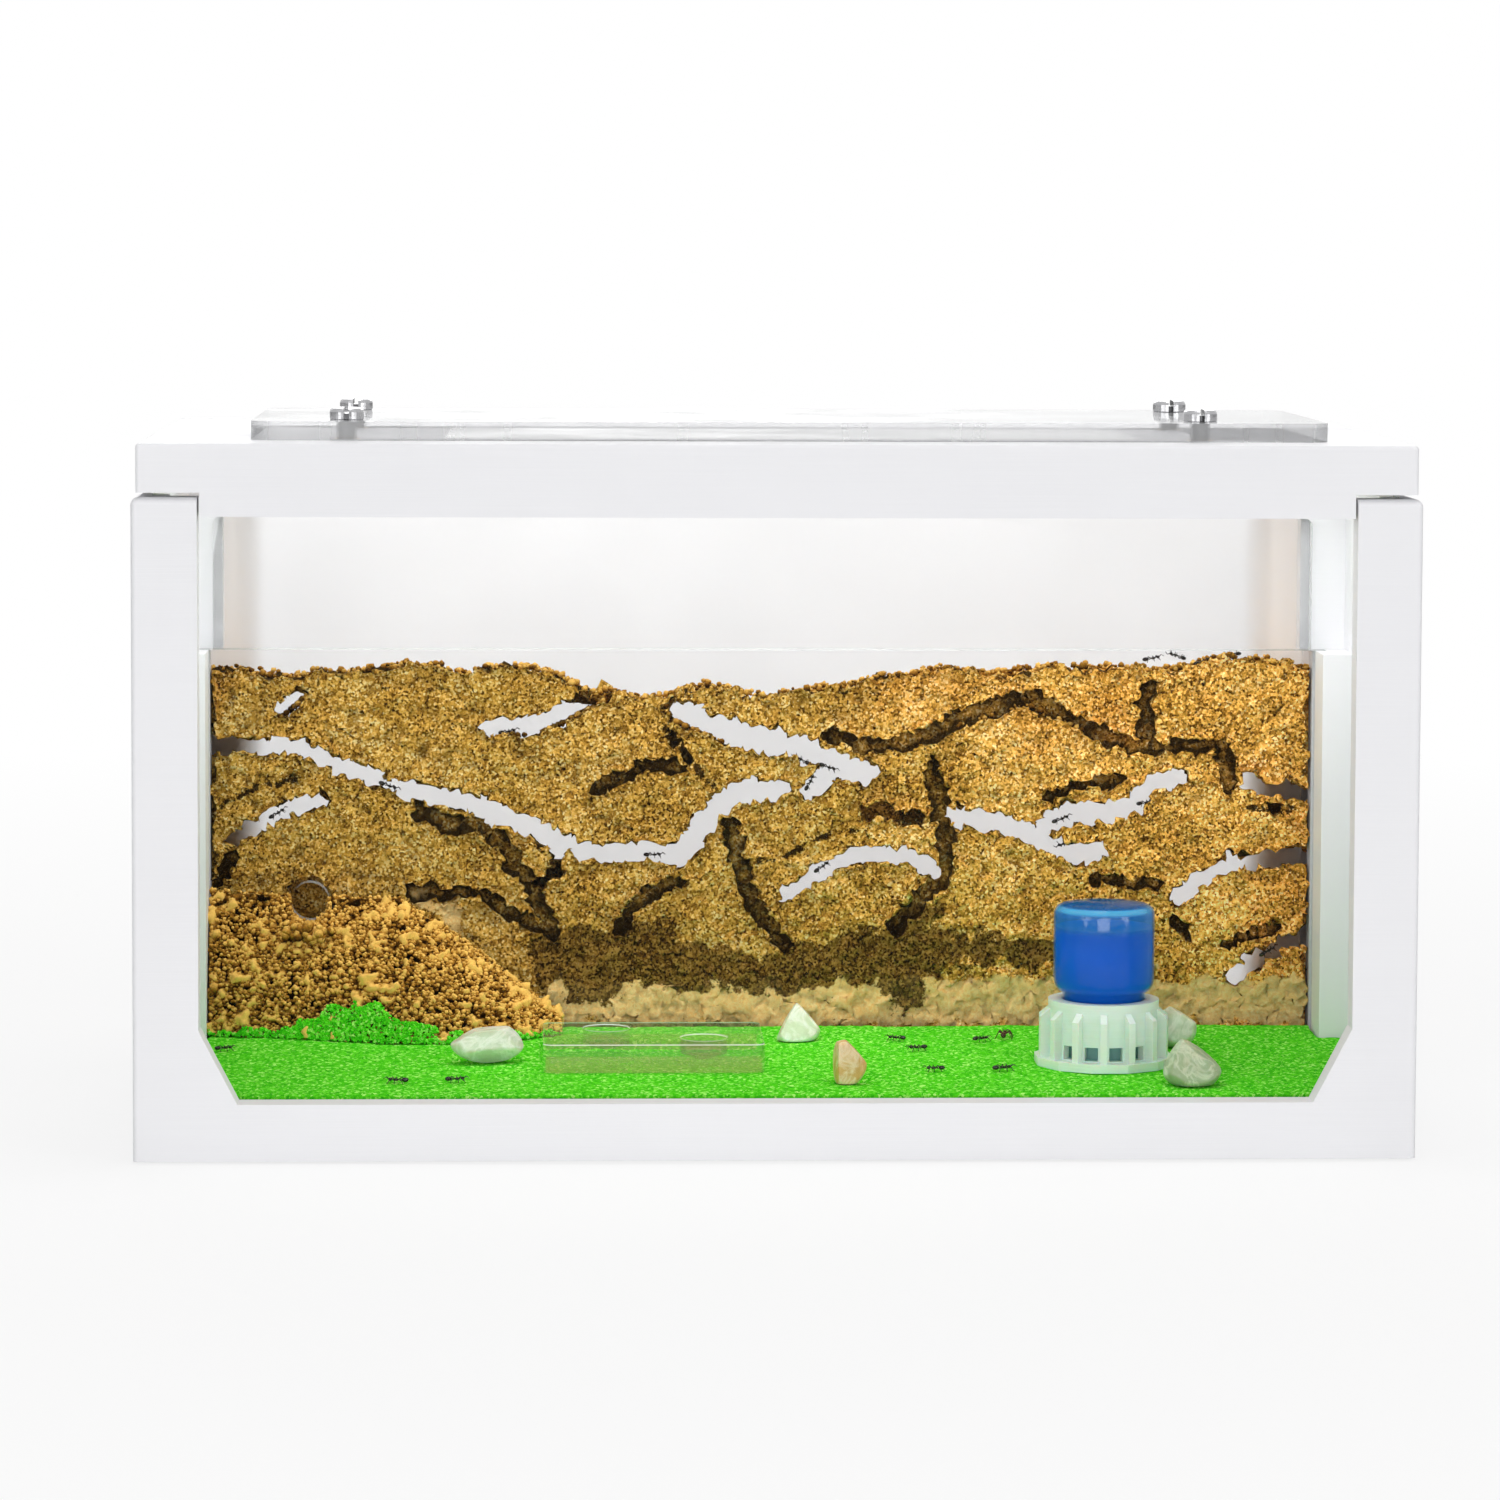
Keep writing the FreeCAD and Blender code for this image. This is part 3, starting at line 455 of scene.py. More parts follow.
def raggedEdges(point):
    # The galleries run along the sight lines of the camera, so what roughens their edges is
    # the same all along such a line.
    share = (slabLow.y - viewEye.y) / (point.y - viewEye.y)
    seen = viewEye + (point - viewEye) * share
    seen.y = 0
    push = noise.noise_vector(seen * 380) * 0.9 + noise.noise_vector(seen * 1000) * 1.1
    hold = max(0.0, min(1.0, (min(point.x - slabLow.x, slabHigh.x - point.x) / mm - 0.5) / 2))
    return Vector((push.x, 0, push.z)) * hold * mm


def slopeCrest(piece):
    # also keeps everything behind the pane
    for vertex in piece.data.vertices:
        vertex.co = fallenCrest(vertex.co + raggedEdges(vertex.co))
        vertex.co.y = max(vertex.co.y, slabLow.y - 0.1 * mm)


packedSand = nestSandLook(slabLow.y)
sandFront = voxelCopy("nest_sand", "nestSandFront", nestSand["voxel"], packedSand)
keepFaces(sandFront, lambda centre: centre.y < nestSand["cut"] * mm)
roughen(sandFront, "lumps", 3.0, 1.5, 0.8)
roughen(sandFront, "grit", 0.9, 0.9, 0.75, 1)
applied(sandFront)
slopeCrest(sandFront)
stainFront(sandFront)
ride(sandFront, "root", "nest_sand", "nest_sand")
sandRear = voxelCopy("nest_sand", "nestSandRear", nestSand["rearVoxel"], packedSand)
keepFaces(sandRear, lambda centre: centre.y > (nestSand["cut"] - 1.0) * mm)
roughen(sandRear, "rearLumps", 3.0, 1.2, 1.4)
applied(sandRear)
slopeCrest(sandRear)
ride(sandRear, "root", "nest_sand", "nest_sand")
print("nest sand made", len(sandFront.data.polygons))


# Crumbs: small lumps of sand, many in one piece

def crumbMesh(roughness, seed):
    bm = bmesh.new()
    bmesh.ops.create_icosphere(bm, subdivisions=1, radius=1.0)
    dice = random.Random(seed)
    for vertex in bm.verts:
        vertex.co *= 1.0 + dice.uniform(-roughness, roughness)
    mesh = bpy.data.meshes.new("crumb")
    bm.to_mesh(mesh)
    bm.free()
    return mesh


def scattered(name, places, sizes, material, seed):
    # a lump at every place, turned at random, each with a grey of its own and with painted light on its upper side and
    # painted shade on its lower side
    dice = random.Random(seed)
    shapes = [crumbMesh(0.22, seed + number) for number in range(6)]
    bm = bmesh.new()
    greysWithPaintedLight = []
    for place in places:
        size = dice.uniform(*sizes) * mm
        turn = Matrix.Rotation(dice.uniform(0, 6.28), 4, Vector([dice.uniform(-1, 1) for _ in range(3)]))
        stretch = Matrix.Diagonal((size, size * dice.uniform(0.7, 1.1), size * dice.uniform(0.7, 1.1), 1.0))
        lump = dice.choice(shapes).copy()
        lump.transform(Matrix.Translation(place) @ turn @ stretch)
        bm.from_mesh(lump)
        grey = dice.uniform(0.3, 0.75)
        # painted light: each lump is lighter towards its top and darker towards its bottom
        greysWithPaintedLight += [grey + 0.25 * (corner.co.z - place.z) / size for corner in lump.vertices]
        bpy.data.meshes.remove(lump)
    piece = newPiece(name, bm, material)
    piece.data.attributes.new("height", "FLOAT", "POINT").data.foreach_set("value", greysWithPaintedLight)
    return piece


def surfacePlaces(node, count, wanted, seed, sink=0.0):
    # random places on the faces of a node that are wanted, even over their area
    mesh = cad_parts[node].data
    mesh.calc_loop_triangles()
    dice = random.Random(seed)
    triangles = []
    for triangle in mesh.loop_triangles:
        corners = [mesh.vertices[index].co.copy() for index in triangle.vertices]
        normal = (corners[1] - corners[0]).cross(corners[2] - corners[0])
        if normal.length > 0 and wanted(sum(corners, Vector()) / 3, normal.normalized()):
            triangles.append((corners, normal.length / 2, normal.normalized()))
    places = []
    for corners, area, normal in dice.choices(triangles, [entry[1] for entry in triangles], k=count):
        a, b = sorted((dice.random(), dice.random()))
        point = corners[0] * a + corners[1] * (b - a) + corners[2] * (1 - b)
        places.append(point - normal * sink * mm)
    return places


def heapLook():
    # painted light on the lumps and painted shade, nearly black, in the pits between them
    look = Shading("coarseSand", (0.5, 0.28, 0.05), 0.95, Specular_IOR_Level=0.05)
    fine = look.noise(3600.0, 3.0, 0.7)
    tone = look.math("ADD", look.math("MULTIPLY", look.attribute("height"), 0.8), look.math("MULTIPLY", fine, 0.4))
    look.feed("Base Color", look.ramp(tone, [
        (0.34, (0.012, 0.005, 0.001)), (0.48, (0.13, 0.052, 0.006)), (0.64, (0.4, 0.185, 0.024)),
        (0.88, (0.9, 0.55, 0.13)),
    ]))
    look.feed("Normal", look.bump(fine, 0.15, 0.8))
    return look.material


def liftLumps(piece, low):
    # works lumps and pits into the heap, and keeps how high each point lies for its colour: painted light on the lumps
    # and painted shade in the pits
    paintedReliefShade, places = [], []
    for vertex in piece.data.vertices:
        point = vertex.co.copy()
        lump = noise.noise(point * 620) * 0.8 + noise.noise(point * 1350) * 0.5 + noise.noise(point * 260) * 0.4
        free = vertex.normal.z > -0.4 and point.z > low.z + 0.5 * mm
        places.append(point + vertex.normal * (lump - 0.25) * 2.4 * mm if free else point)
        paintedReliefShade.append(max(0.0, min(1.0, 0.5 + lump * 0.9)))
    for vertex, place in zip(piece.data.vertices, places):
        vertex.co = place
    piece.data.attributes.new("height", "FLOAT", "POINT").data.foreach_set("value", paintedReliefShade)


coarseSand = heapLook()
heapSettings = {"voxel": 0.4, "crumbs": 6800, "sizes": (0.22, 0.52), "lumps": 110, "lumpSizes": (0.6, 1.0)}
heapLow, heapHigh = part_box("spoil_heap")
heap = voxelCopy("spoil_heap", "spoilHeapBody", heapSettings["voxel"], coarseSand)
liftLumps(heap, heapLow)
ride(heap, "root", "coarse_sand", "spoil_heap")
heapPlaces = surfacePlaces(
    "spoil_heap", heapSettings["crumbs"], lambda centre, normal: normal.y < 0.5 and normal.z > -0.5, 5, 0.2,
)
crumbs = scattered("spoilHeapCrumbs", heapPlaces, heapSettings["sizes"], coarseSand, 11)
ride(crumbs, "root", "coarse_sand", "spoil_heap")
lumpPlaces = surfacePlaces(
    "spoil_heap", heapSettings["lumps"], lambda centre, normal: normal.y < 0.5 and normal.z > -0.5, 15, 0.9,
)
entrance = {"count": 100, "low": (-79.0, 0.0, 27.5), "high": (-71.0, 5.6, 30.0)}
dice = random.Random(19)
for _ in range(entrance["count"]):
    place = [dice.uniform(lowSide, highSide) for lowSide, highSide in zip(entrance["low"], entrance["high"])]
    lumpPlaces.append(Vector(place) * mm)
clods = scattered("spoilHeapClods", lumpPlaces, heapSettings["lumpSizes"], coarseSand, 12)
roughen(clods, "clodGrit", 0.8, 0.7, 0.5, 1)
ride(clods, "root", "coarse_sand", "spoil_heap")

crestCrumbs = {"count": 2600, "sizes": (0.25, 0.7)}
crestPlaces = surfacePlaces(
    "nest_sand", crestCrumbs["count"],
    lambda centre, normal: centre.z > 60 * mm and normal.z > 0.3 and centre.y < 41 * mm, 7, 0.1,
)
crestPlaces = [fallenCrest(place) for place in crestPlaces if place.y > slabLow.y + 0.6 * mm]
crest = scattered("nestCrestCrumbs", crestPlaces, crestCrumbs["sizes"], coarseSand, 17)
ride(crest, "root", "nest_sand", "nest_sand")
print("heap and crest made")


# Green foraging floor

greenStops = [
    (0.3, (0.03, 0.43, 0.006)), (0.5, (0.07, 0.61, 0.01)), (0.66, (0.12, 0.72, 0.018)), (0.84, (0.48, 0.94, 0.2)),
]
greenSand = looseSandLook("greenSand", greenStops, 2300.0, 0.12)
floorPiece = voxelCopy("foraging_floor", "foragingFloor", 0.62, greenSand)
roughen(floorPiece, "dunes", 9.0, 0.4, 0.7)
roughen(floorPiece, "floorGrit", 0.9, 0.3, 0.6, 1)
ride(floorPiece, "root", "green_sand", "foraging_floor")
greenDust = {"count": 26000, "base": 12.8, "climb": 4.8, "middle": -67.0, "spread": 9.0, "sizes": (0.16, 0.36)}


def dusted(place):
    # true on the heap's foot, where green sand has climbed it
    away = (place.x / mm - greenDust["middle"]) / greenDust["spread"]
    ripple = noise.noise(place * 400) * 1.6
    return place.z / mm < greenDust["base"] + ripple + greenDust["climb"] * math.exp(-away * away)


dustPlaces = surfacePlaces("spoil_heap", greenDust["count"], lambda centre, normal: normal.y < 0.5 and normal.z > -0.5, 21)
dustPlaces = [place + Vector((0, -0.5, 0.1)) * mm for place in dustPlaces if dusted(place)]
dust = scattered("greenDust", dustPlaces, greenDust["sizes"], greenSand, 23)
ride(dust, "root", "green_sand", "foraging_floor")
print("floor made")


# Hatch screws, with the thread that shows through the clear plate

screwSettings = {
    "shank": 1.18, "thread": 1.48, "pitch": 0.5, "tip": 104.5, "seat": 114.5,
    "head": 2.7, "headTop": 116.4, "slot": (0.8, 0.9),
}


def steelLook(name, color):
    look = Shading(name, color, 0.22, Metallic=1.0)
    scuffs = look.noise(900.0, 3.0)
    look.feed("Roughness", look.between(scuffs, 0.3, 0.7, 0.14, 0.34))
    look.feed("Normal", look.bump(scuffs, 0.02, 0.3))
    return look.material


plated = steelLook("platedSteel", (0.42, 0.42, 0.43))
# painted shade: near-black steel for the thread valleys and the slot, where shade falls
shaded = steelLook("paintedThreadAndSlotShade", (0.05, 0.05, 0.052))


def hatchScrew(corner):
    s = screwSettings
    low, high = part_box("hatch_screw_" + corner)
    centre = ((low.x + high.x) / 2 / mm, (low.y + high.y) / 2 / mm)
    bm = bmesh.new()
    spunProfile(bm, [
        (0, s["tip"]), (s["shank"] - 0.3, s["tip"]), (s["shank"], s["tip"] + 0.3), (s["shank"], s["seat"]),
        (s["head"] - 0.1, s["seat"]), (s["head"], s["seat"] + 0.1), (s["head"], s["headTop"] - 0.7),
        (s["head"] - 0.12, s["headTop"] - 0.35), (s["head"] - 0.4, s["headTop"] - 0.12),
        (s["head"] - 0.9, s["headTop"]), (0, s["headTop"]),
    ], centre, 40)
    turns = int((s["seat"] - s["tip"] - 0.6) / s["pitch"])
    x, y = centre[0] * mm, centre[1] * mm
    start = s["tip"] + 0.2
    ridge = [(s["shank"] - 0.05, start), (s["thread"], start + s["pitch"] / 2), (s["shank"] - 0.05, start + s["pitch"])]
    rail = [bm.verts.new((x + radius * mm, y, height * mm)) for radius, height in ridge]
    edges = [bm.edges.new(pair) for pair in zip(rail, rail[1:])]
    bmesh.ops.spin(
        bm, geom=rail + edges, cent=(x, y, 0), axis=(0, 0, 1), dvec=(0, 0, s["pitch"] * mm / 14),
        angle=2 * math.pi * turns, steps=14 * turns,
    )
    piece = newPiece("hatchScrew_" + corner, bm, plated)
    knife = bmesh.new()
    width, depth = s["slot"]
    block = Matrix.Translation((x, y, s["headTop"] * mm)) @ Matrix.Diagonal((width * mm, 8 * mm, 2 * depth * mm, 1))
    bmesh.ops.create_cube(knife, size=1.0, matrix=block)
    cutter = newPiece("slotCutter", knife, plated)
    slotCut = piece.modifiers.new("slot", "BOOLEAN")
    slotCut.object = cutter
    slotCut.operation = "DIFFERENCE"
    slotCut.solver = "EXACT"
    applied(piece)
    bpy.data.objects.remove(cutter)
    piece.data.polygons.foreach_set("use_smooth", [False] * len(piece.data.polygons))
    piece.data.materials.append(shaded)
    # the thread valleys and the slot take the painted-shade steel, the rest the plated steel
    for face in piece.data.polygons:
        across = abs(face.center.x - x) / mm
        radius = math.hypot(face.center.x - x, face.center.y - y) / mm
        height = face.center.z / mm
        valley = height < s["seat"] and radius < s["shank"] + 0.1
        inSlot = across < width / 2 + 0.02 and s["seat"] < height < s["headTop"] - 0.1
        face.material_index = 1 if valley or inSlot else 0
    ride(piece, "screw_" + corner, "screw_steel", "hatch_screw_" + corner)


for cornerName in ("front_left", "front_right", "back_left", "back_right"):
    hatchScrew(cornerName)
    brass = Shading("insertBrass_" + cornerName, (0.72, 0.5, 0.2), 0.3, Metallic=1.0)
    brass.feed("Roughness", brass.between(brass.noise(1200.0), 0.3, 0.7, 0.2, 0.4))
    placeMaterial(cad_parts["thread_insert_" + cornerName], brass.material)
print("screws made")


# Feeder block, clear, with painted highlights on its eased top edges and a painted reflection low on its front and back

def feederLook():
    look = Shading("feederClear", (0.7, 0.82, 0.62), 0.05, Alpha=0.3, Coat_Weight=0.3)
    tilt = look.math("ABSOLUTE", look.axis("Z", look.normal()))
    # painted highlight: near white on the eased edges at the block's top
    paintedEdgeHighlight = look.math("MULTIPLY", look.between(tilt, 0.1, 0.3), look.between(tilt, 0.86, 0.97, 1.0, 0.0))
    paintedEdgeHighlight = look.math("MULTIPLY", paintedEdgeHighlight, look.between(look.axis("Z"), 13.4 * mm, 13.8 * mm))
    veil = look.between(look.axis("Z"), 10.0 * mm, 14.6 * mm, 0.12, 0.12)
    # painted reflection: a brown band low on the faces that point along Y
    foot = look.math("MULTIPLY", look.between(look.axis("Z"), 12.6 * mm, 13.0 * mm, 1.0, 0.0), look.between(
        look.math("ABSOLUTE", look.axis("Y", look.normal())), 0.5, 0.8))
    clear = look.mix(foot, (0.5, 0.64, 0.26), (0.6, 0.42, 0.18))
    look.feed("Base Color", look.mix(paintedEdgeHighlight, clear, (0.92, 0.96, 0.88)))
    veil = look.math("MAXIMUM", veil, look.math("MULTIPLY", foot, 0.34))
    look.feed("Alpha", look.math("MAXIMUM", veil, look.math("MULTIPLY", paintedEdgeHighlight, 0.7)))
    look.feed("Roughness", look.between(look.noise(80.0), 0.3, 0.7, 0.03, 0.09))
    return look.material


def feeder():
    bm = bmesh.new()
    bm.from_mesh(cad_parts["feeder_block"].data)
    bmesh.ops.remove_doubles(bm, verts=bm.verts, dist=0.002 * mm)
    bmesh.ops.dissolve_limit(bm, angle_limit=math.radians(2), verts=bm.verts, edges=bm.edges)
    sharp = [edge for edge in bm.edges if len(edge.link_faces) == 2 and edge.calc_face_angle() > math.radians(40)]
    bmesh.ops.bevel(
        bm, geom=sharp, offset=0.22 * mm, segments=2, affect="EDGES", profile=0.5, material=-1, clamp_overlap=True,
    )
    ride(newPiece("feederBlock", bm, feederLook(), False), "feeder", "clear_acrylic", "feeder_block")


feeder()
print("feeder made")


# Drinker

def drinkerPrintLook():
    look = Shading("palePrint", (0.72, 0.86, 0.78), 0.42, Subsurface_Weight=0.4, Subsurface_Scale=2 * mm)
    layers = look.stretched((60, 60, 1 / (0.2 * mm)))
    streak = look.noise(1.0, 2.0, 0.6, layers)
    look.feed("Base Color", look.mix(streak, (0.66, 0.79, 0.68), (0.78, 0.88, 0.82)))
    look.feed("Normal", look.bump(streak, 0.05, 0.6))
    return look.material


def blueWaterLook():
    look = Shading("blueWater", (0.01, 0.14, 0.6), 0.3, Specular_IOR_Level=0.2, IOR=1.33)
    body = look.mix(look.noise(120.0), (0.001, 0.12, 0.74), (0.002, 0.16, 0.86))
    # painted light: pale aqua near the mouth, lightening the water in the neck that lies in shade inside the print
    tray = look.between(look.axis("Z"), 15 * mm, 20 * mm, 1.0, 0.0)
    look.feed("Base Color", look.mix(tray, body, (0.5, 0.95, 0.9)))
    return look.material


def bottleLook(level, top):
    # clear wall: a light blue veil over the air at its foot, nearly nothing over the water; a painted reflection where
    # the wall is seen edge-on, a painted highlight on the rounded top, and painted light near the mouth
    look = Shading("bottleClear", (0.3, 0.62, 0.85), 0.03, Alpha=0.3, Coat_Weight=0.5)
    high = look.between(look.axis("Z"), level - 0.6 * mm, level + 0.4 * mm)
    # painted reflection: lighter blue and less clear where the wall is seen edge-on
    paintedRimReflection = look.math("POWER", look.facing(), 3.0)
    body = look.mix(high, (0.002, 0.15, 0.74), (0.01, 0.21, 0.64))
    # painted highlight: bright cyan where the wall faces partly upward, on its rounded top
    tip = look.axis("Z", look.normal())
    paintedShoulderHighlight = look.math("MULTIPLY", look.between(tip, 0.3, 0.5), look.between(tip, 0.8, 0.95, 1.0, 0.0))
    body = look.mix(paintedShoulderHighlight, body, (0.12, 0.6, 0.95))
    # painted light: pale aqua near the mouth, lightening the neck that lies in shade inside the print
    near = look.between(look.axis("Z"), 15 * mm, 20 * mm, 1.0, 0.0)
    look.feed("Base Color", look.mix(near, look.mix(paintedRimReflection, body, (0.02, 0.42, 0.86)), (0.5, 0.86, 0.8)))
    veil = look.between(high, 0.0, 1.0, 0.25, 0.45)
    flat = look.between(tip, 0.85, 0.97, 1.0, 0.5)
    side = look.math("MAXIMUM", veil, look.math("MULTIPLY", paintedRimReflection, 0.9))
    look.feed("Alpha", look.math("MULTIPLY", side, flat))
    look.feed("Roughness", look.between(look.noise(80.0), 0.3, 0.7, 0.02, 0.06))
    return look.material


bottleSettings = {
    "radius": 8.15, "neck": 6.65, "wall": 0.25, "skin": 0.32, "mouth": 11.3, "shoulder": 22.3, "top": 36.0,
    "water": 32.1,
}


def roundedBottle(grow, mouth, top):
    # the bottle's outline from its mouth up, larger or smaller by grow
    b = bottleSettings
    radius, neck = b["radius"] + grow, b["neck"] + grow
    shoulder = b["shoulder"]
    points = [(neck, mouth), (neck, shoulder - 0.6)]
    for step in range(1, 6):
        share = step / 5
        points.append((neck + (radius - neck) * math.sin(share * math.pi / 2), shoulder - 0.6 + 2.4 * share ** 1.6))
    roundness = 1.7
    for step in range(0, 6):
        angle = math.pi / 2 * step / 5
        points.append((radius - roundness + roundness * math.cos(angle), top - roundness + roundness * math.sin(angle)))
    return points + [(0, top)]


def drinker():
    b = bottleSettings
    low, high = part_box("drinker_bottle")
    centre = ((low.x + high.x) / 2 / mm, (low.y + high.y) / 2 / mm)
    bm = bmesh.new()
    outer = roundedBottle(0, b["mouth"], b["top"])
    inner = roundedBottle(-b["wall"], b["mouth"], b["top"] - b["wall"])
    spunProfile(bm, outer[::-1] + inner, centre, 64)
    bottle = newPiece("drinkerBottle", bm, bottleLook(b["water"] * mm, b["top"] * mm))
    ride(bottle, "bottle", "clear_bottle", "drinker_bottle")
    bm = bmesh.new()
    wet = [point for point in roundedBottle(-b["skin"], b["mouth"], b["top"]) if point[1] < b["water"] - 0.4]
    wall = wet[-1][0]
    meniscus = [(wall, b["water"] + 0.25), (wall - 0.35, b["water"]), (0, b["water"] - 0.05)]
    spunProfile(bm, [(0, b["mouth"])] + wet + meniscus, centre, 64)
    water = newPiece("bottleWater", bm, blueWaterLook())
    ride(water, "bottle", "blue_water", "bottle_water")
    placeMaterial(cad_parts["drinker_base"], drinkerPrintLook())
    tray = Shading("trayWater", (0.3, 0.8, 0.74), 0.3, IOR=1.33)
    tray.feed("Base Color", tray.mix(tray.noise(200.0), (0.3, 0.8, 0.74), (0.4, 0.88, 0.8)))
    placeMaterial(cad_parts["tray_water"], tray.material)


drinker()
print("drinker made")


# Pebbles

pebbleLooks = {
    "pebble_long": {
        "base": (0.6, 0.68, 0.5), "vein": (0.85, 0.87, 0.78), "slot": "pale_pebble",
        "cuts": [((-0.2, 0, 1), 0.62), ((-0.7, 0, 0.7), 0.66), ((0.8, -0.2, 0.4), 0.74), ((0, -1, 0.2), 0.6), ((0.1, -0.7, -0.6), 0.7)],
    },
    "pebble_triangle": {
        "base": (0.66, 0.73, 0.52), "vein": (0.88, 0.9, 0.8), "slot": "pale_pebble",
        "cuts": [((-0.9, 0, 0.42), 0.4), ((0.8, 0, 0.6), 0.66), ((0, -1, 0.35), 0.45), ((0, 0, -1), 0.7)],
    },
    "pebble_tan": {
        "base": (0.68, 0.4, 0.12), "vein": (0.85, 0.68, 0.42), "slot": "tan_pebble",
        "cuts": [((-1, -0.2, 0), 0.42), ((0.1, -1, 0.1), 0.5), ((0.7, 0, 0.75), 0.72), ((0, 0, -1), 0.8)],
    },
    "pebble_behind_drinker": {
        "base": (0.6, 0.7, 0.5), "vein": (0.8, 0.84, 0.7), "slot": "pale_pebble",
        "cuts": [((0.5, 0, 0.85), 0.62), ((-0.6, -0.3, 0.7), 0.7), ((0, -1, 0.2), 0.6)],
    },
    "pebble_grey": {
        "base": (0.36, 0.46, 0.27), "vein": (0.6, 0.66, 0.47), "slot": "grey_pebble",
        "cuts": [((0.6, -0.2, 0.75), 0.4), ((-0.85, -0.2, 0.5), 0.62), ((0.15, -0.9, 0.3), 0.5), ((-0.35, -0.7, 0.62), 0.52), ((0, 0, -1), 0.75)],
    },
}


def pebbleStone(node, number):
    look = pebbleLooks[node]
    stone = Shading(node + "Look", look["base"], 0.3, Subsurface_Weight=0.3, Subsurface_Scale=2 * mm)
    veins = stone.noise(150.0 + 25 * number, 4.0, 0.6, None, 1.2)
    color = stone.ramp(veins, [(0.38, look["base"]), (0.47, look["vein"]), (0.56, look["base"])])
    cloudy = stone.noise(420.0, 4.0, 0.6)
    stone.feed("Base Color", stone.mix(stone.between(cloudy, 0.35, 0.7, 0.0, 0.45), color, (0.62, 0.62, 0.5), "MULTIPLY"))
    stone.feed("Normal", stone.bump(stone.noise(900.0, 3.0), 0.08, 0.6))
    return stone.material


def pebble(node, number):
    # a ball pressed flat on a few sides, worn round, and fitted to the node's box
    low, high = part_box(node)
    centre, half = (low + high) / 2, (high - low) / 2
    bm = bmesh.new()
    bmesh.ops.create_icosphere(bm, subdivisions=5, radius=1.0)
    for vertex in bm.verts:
        point = vertex.co * (1.0 + 0.06 * noise.noise(vertex.co * 1.6 + Vector((number, 0, 0))))
        for direction, reach in pebbleLooks[node]["cuts"]:
            normal = Vector(direction).normalized()
            over = point.dot(normal) - reach
            if over > 0:
                point -= normal * over * 0.9
        vertex.co = point
    reachLow = Vector([min(vertex.co[axis] for vertex in bm.verts) for axis in range(3)])
    reachHigh = Vector([max(vertex.co[axis] for vertex in bm.verts) for axis in range(3)])
    for vertex in bm.verts:
        share = Vector([
            (vertex.co[axis] - reachLow[axis]) / (reachHigh[axis] - reachLow[axis]) * 2 - 1 for axis in range(3)
        ])
        vertex.co = centre + Vector([share[axis] * half[axis] for axis in range(3)])
    for _ in range(3):
        bmesh.ops.smooth_vert(bm, verts=bm.verts, factor=0.5, use_axis_x=True, use_axis_y=True, use_axis_z=True)
    ride(newPiece(node + "Stone", bm, pebbleStone(node, number)), "root", pebbleLooks[node]["slot"], node)


for order, pebbleName in enumerate(pebbleLooks):
    pebble(pebbleName, order)
print("pebbles made")


# Ants, which live in it: on the floor, in the galleries and on the crest

antSettings = {
    "floor": [
        (-88.3, -11.2, 20, 3.2), (-59.4, -33.8, 170, 3.6), (-50.4, -33.1, 10, 3.4), (21.6, -4.8, 160, 3.2),
        (24.6, -11.9, 200, 3.4), (35.3, -5.5, 30, 3.2), (26.4, -26.3, 185, 3.2), (37.1, -26.3, 20, 3.6),
    ],
    "queen": (39.4, -3.3, 80, 4.4),
    "nest": [
        (-62.4, 51.9, -20, 3.4), (-42.5, 60.9, 10, 3.2), (-18.3, 40.3, 0, 3.2), (6.7, 56.4, 150, 3.2),
        (10.8, 55.0, -20, 3.2), (8.0, 52.4, 60, 3.2), (49.9, 46.2, 20, 3.2), (50.8, 42.4, 190, 3.2),
        (64.1, 49.0, 10, 3.2), (10.0, 38.2, 35, 3.2), (84.9, 23.9, 30, 3.2), (-80.7, 47.2, 30, 3.2),
    ],
    "crest": [(64.9, 73.2, 10, 3.2), (69.3, 73.9, 160, 3.2), (73.4, 72.7, 20, 3.2), (78.5, 74.2, 185, 3.0)],
}


def limb(bm, start, end, radius):
    start, end = Vector(start), Vector(end)
    length = (end - start).length
    turn = (end - start).to_track_quat("Z", "Y").to_matrix().to_4x4()
    place = Matrix.Translation((start + end) / 2) @ turn
    bmesh.ops.create_cone(
        bm, cap_ends=True, segments=5, radius1=radius, radius2=radius * 0.7, depth=length, matrix=place,
    )


def antMesh():
    # an ant one unit long, heading along +X with its feet at zero height
    bm = bmesh.new()
    for x, z, length, width in ((-0.33, 0.17, 0.36, 0.22), (-0.1, 0.14, 0.1, 0.07), (0.1, 0.16, 0.32, 0.12), (0.37, 0.18, 0.2, 0.16)):
        shape = Matrix.Translation((x, 0, z)) @ Matrix.Diagonal((length / 2, width / 2, width / 2, 1))
        bmesh.ops.create_uvsphere(bm, u_segments=10, v_segments=7, radius=1.0, matrix=shape)
    for side in (-1, 1):
        for hip, knee, foot in ((0.18, 0.3, 0.46), (0.1, 0.1, 0.12), (0.02, -0.14, -0.3)):
            limb(bm, (hip, 0, 0.14), (knee, side * 0.2, 0.27), 0.03)
            limb(bm, (knee, side * 0.2, 0.27), (foot, side * 0.34, 0.0), 0.022)
        limb(bm, (0.45, side * 0.03, 0.2), (0.56, side * 0.1, 0.28), 0.02)
        limb(bm, (0.56, side * 0.1, 0.28), (0.7, side * 0.12, 0.18), 0.016)
    mesh = bpy.data.meshes.new("ant")
    bm.to_mesh(mesh)
    bm.free()
    return mesh


def antLook(name, color):
    look = Shading(name, color, 0.28)
    look.feed("Roughness", look.between(look.noise(2500.0), 0.3, 0.7, 0.2, 0.4))
    return look.material


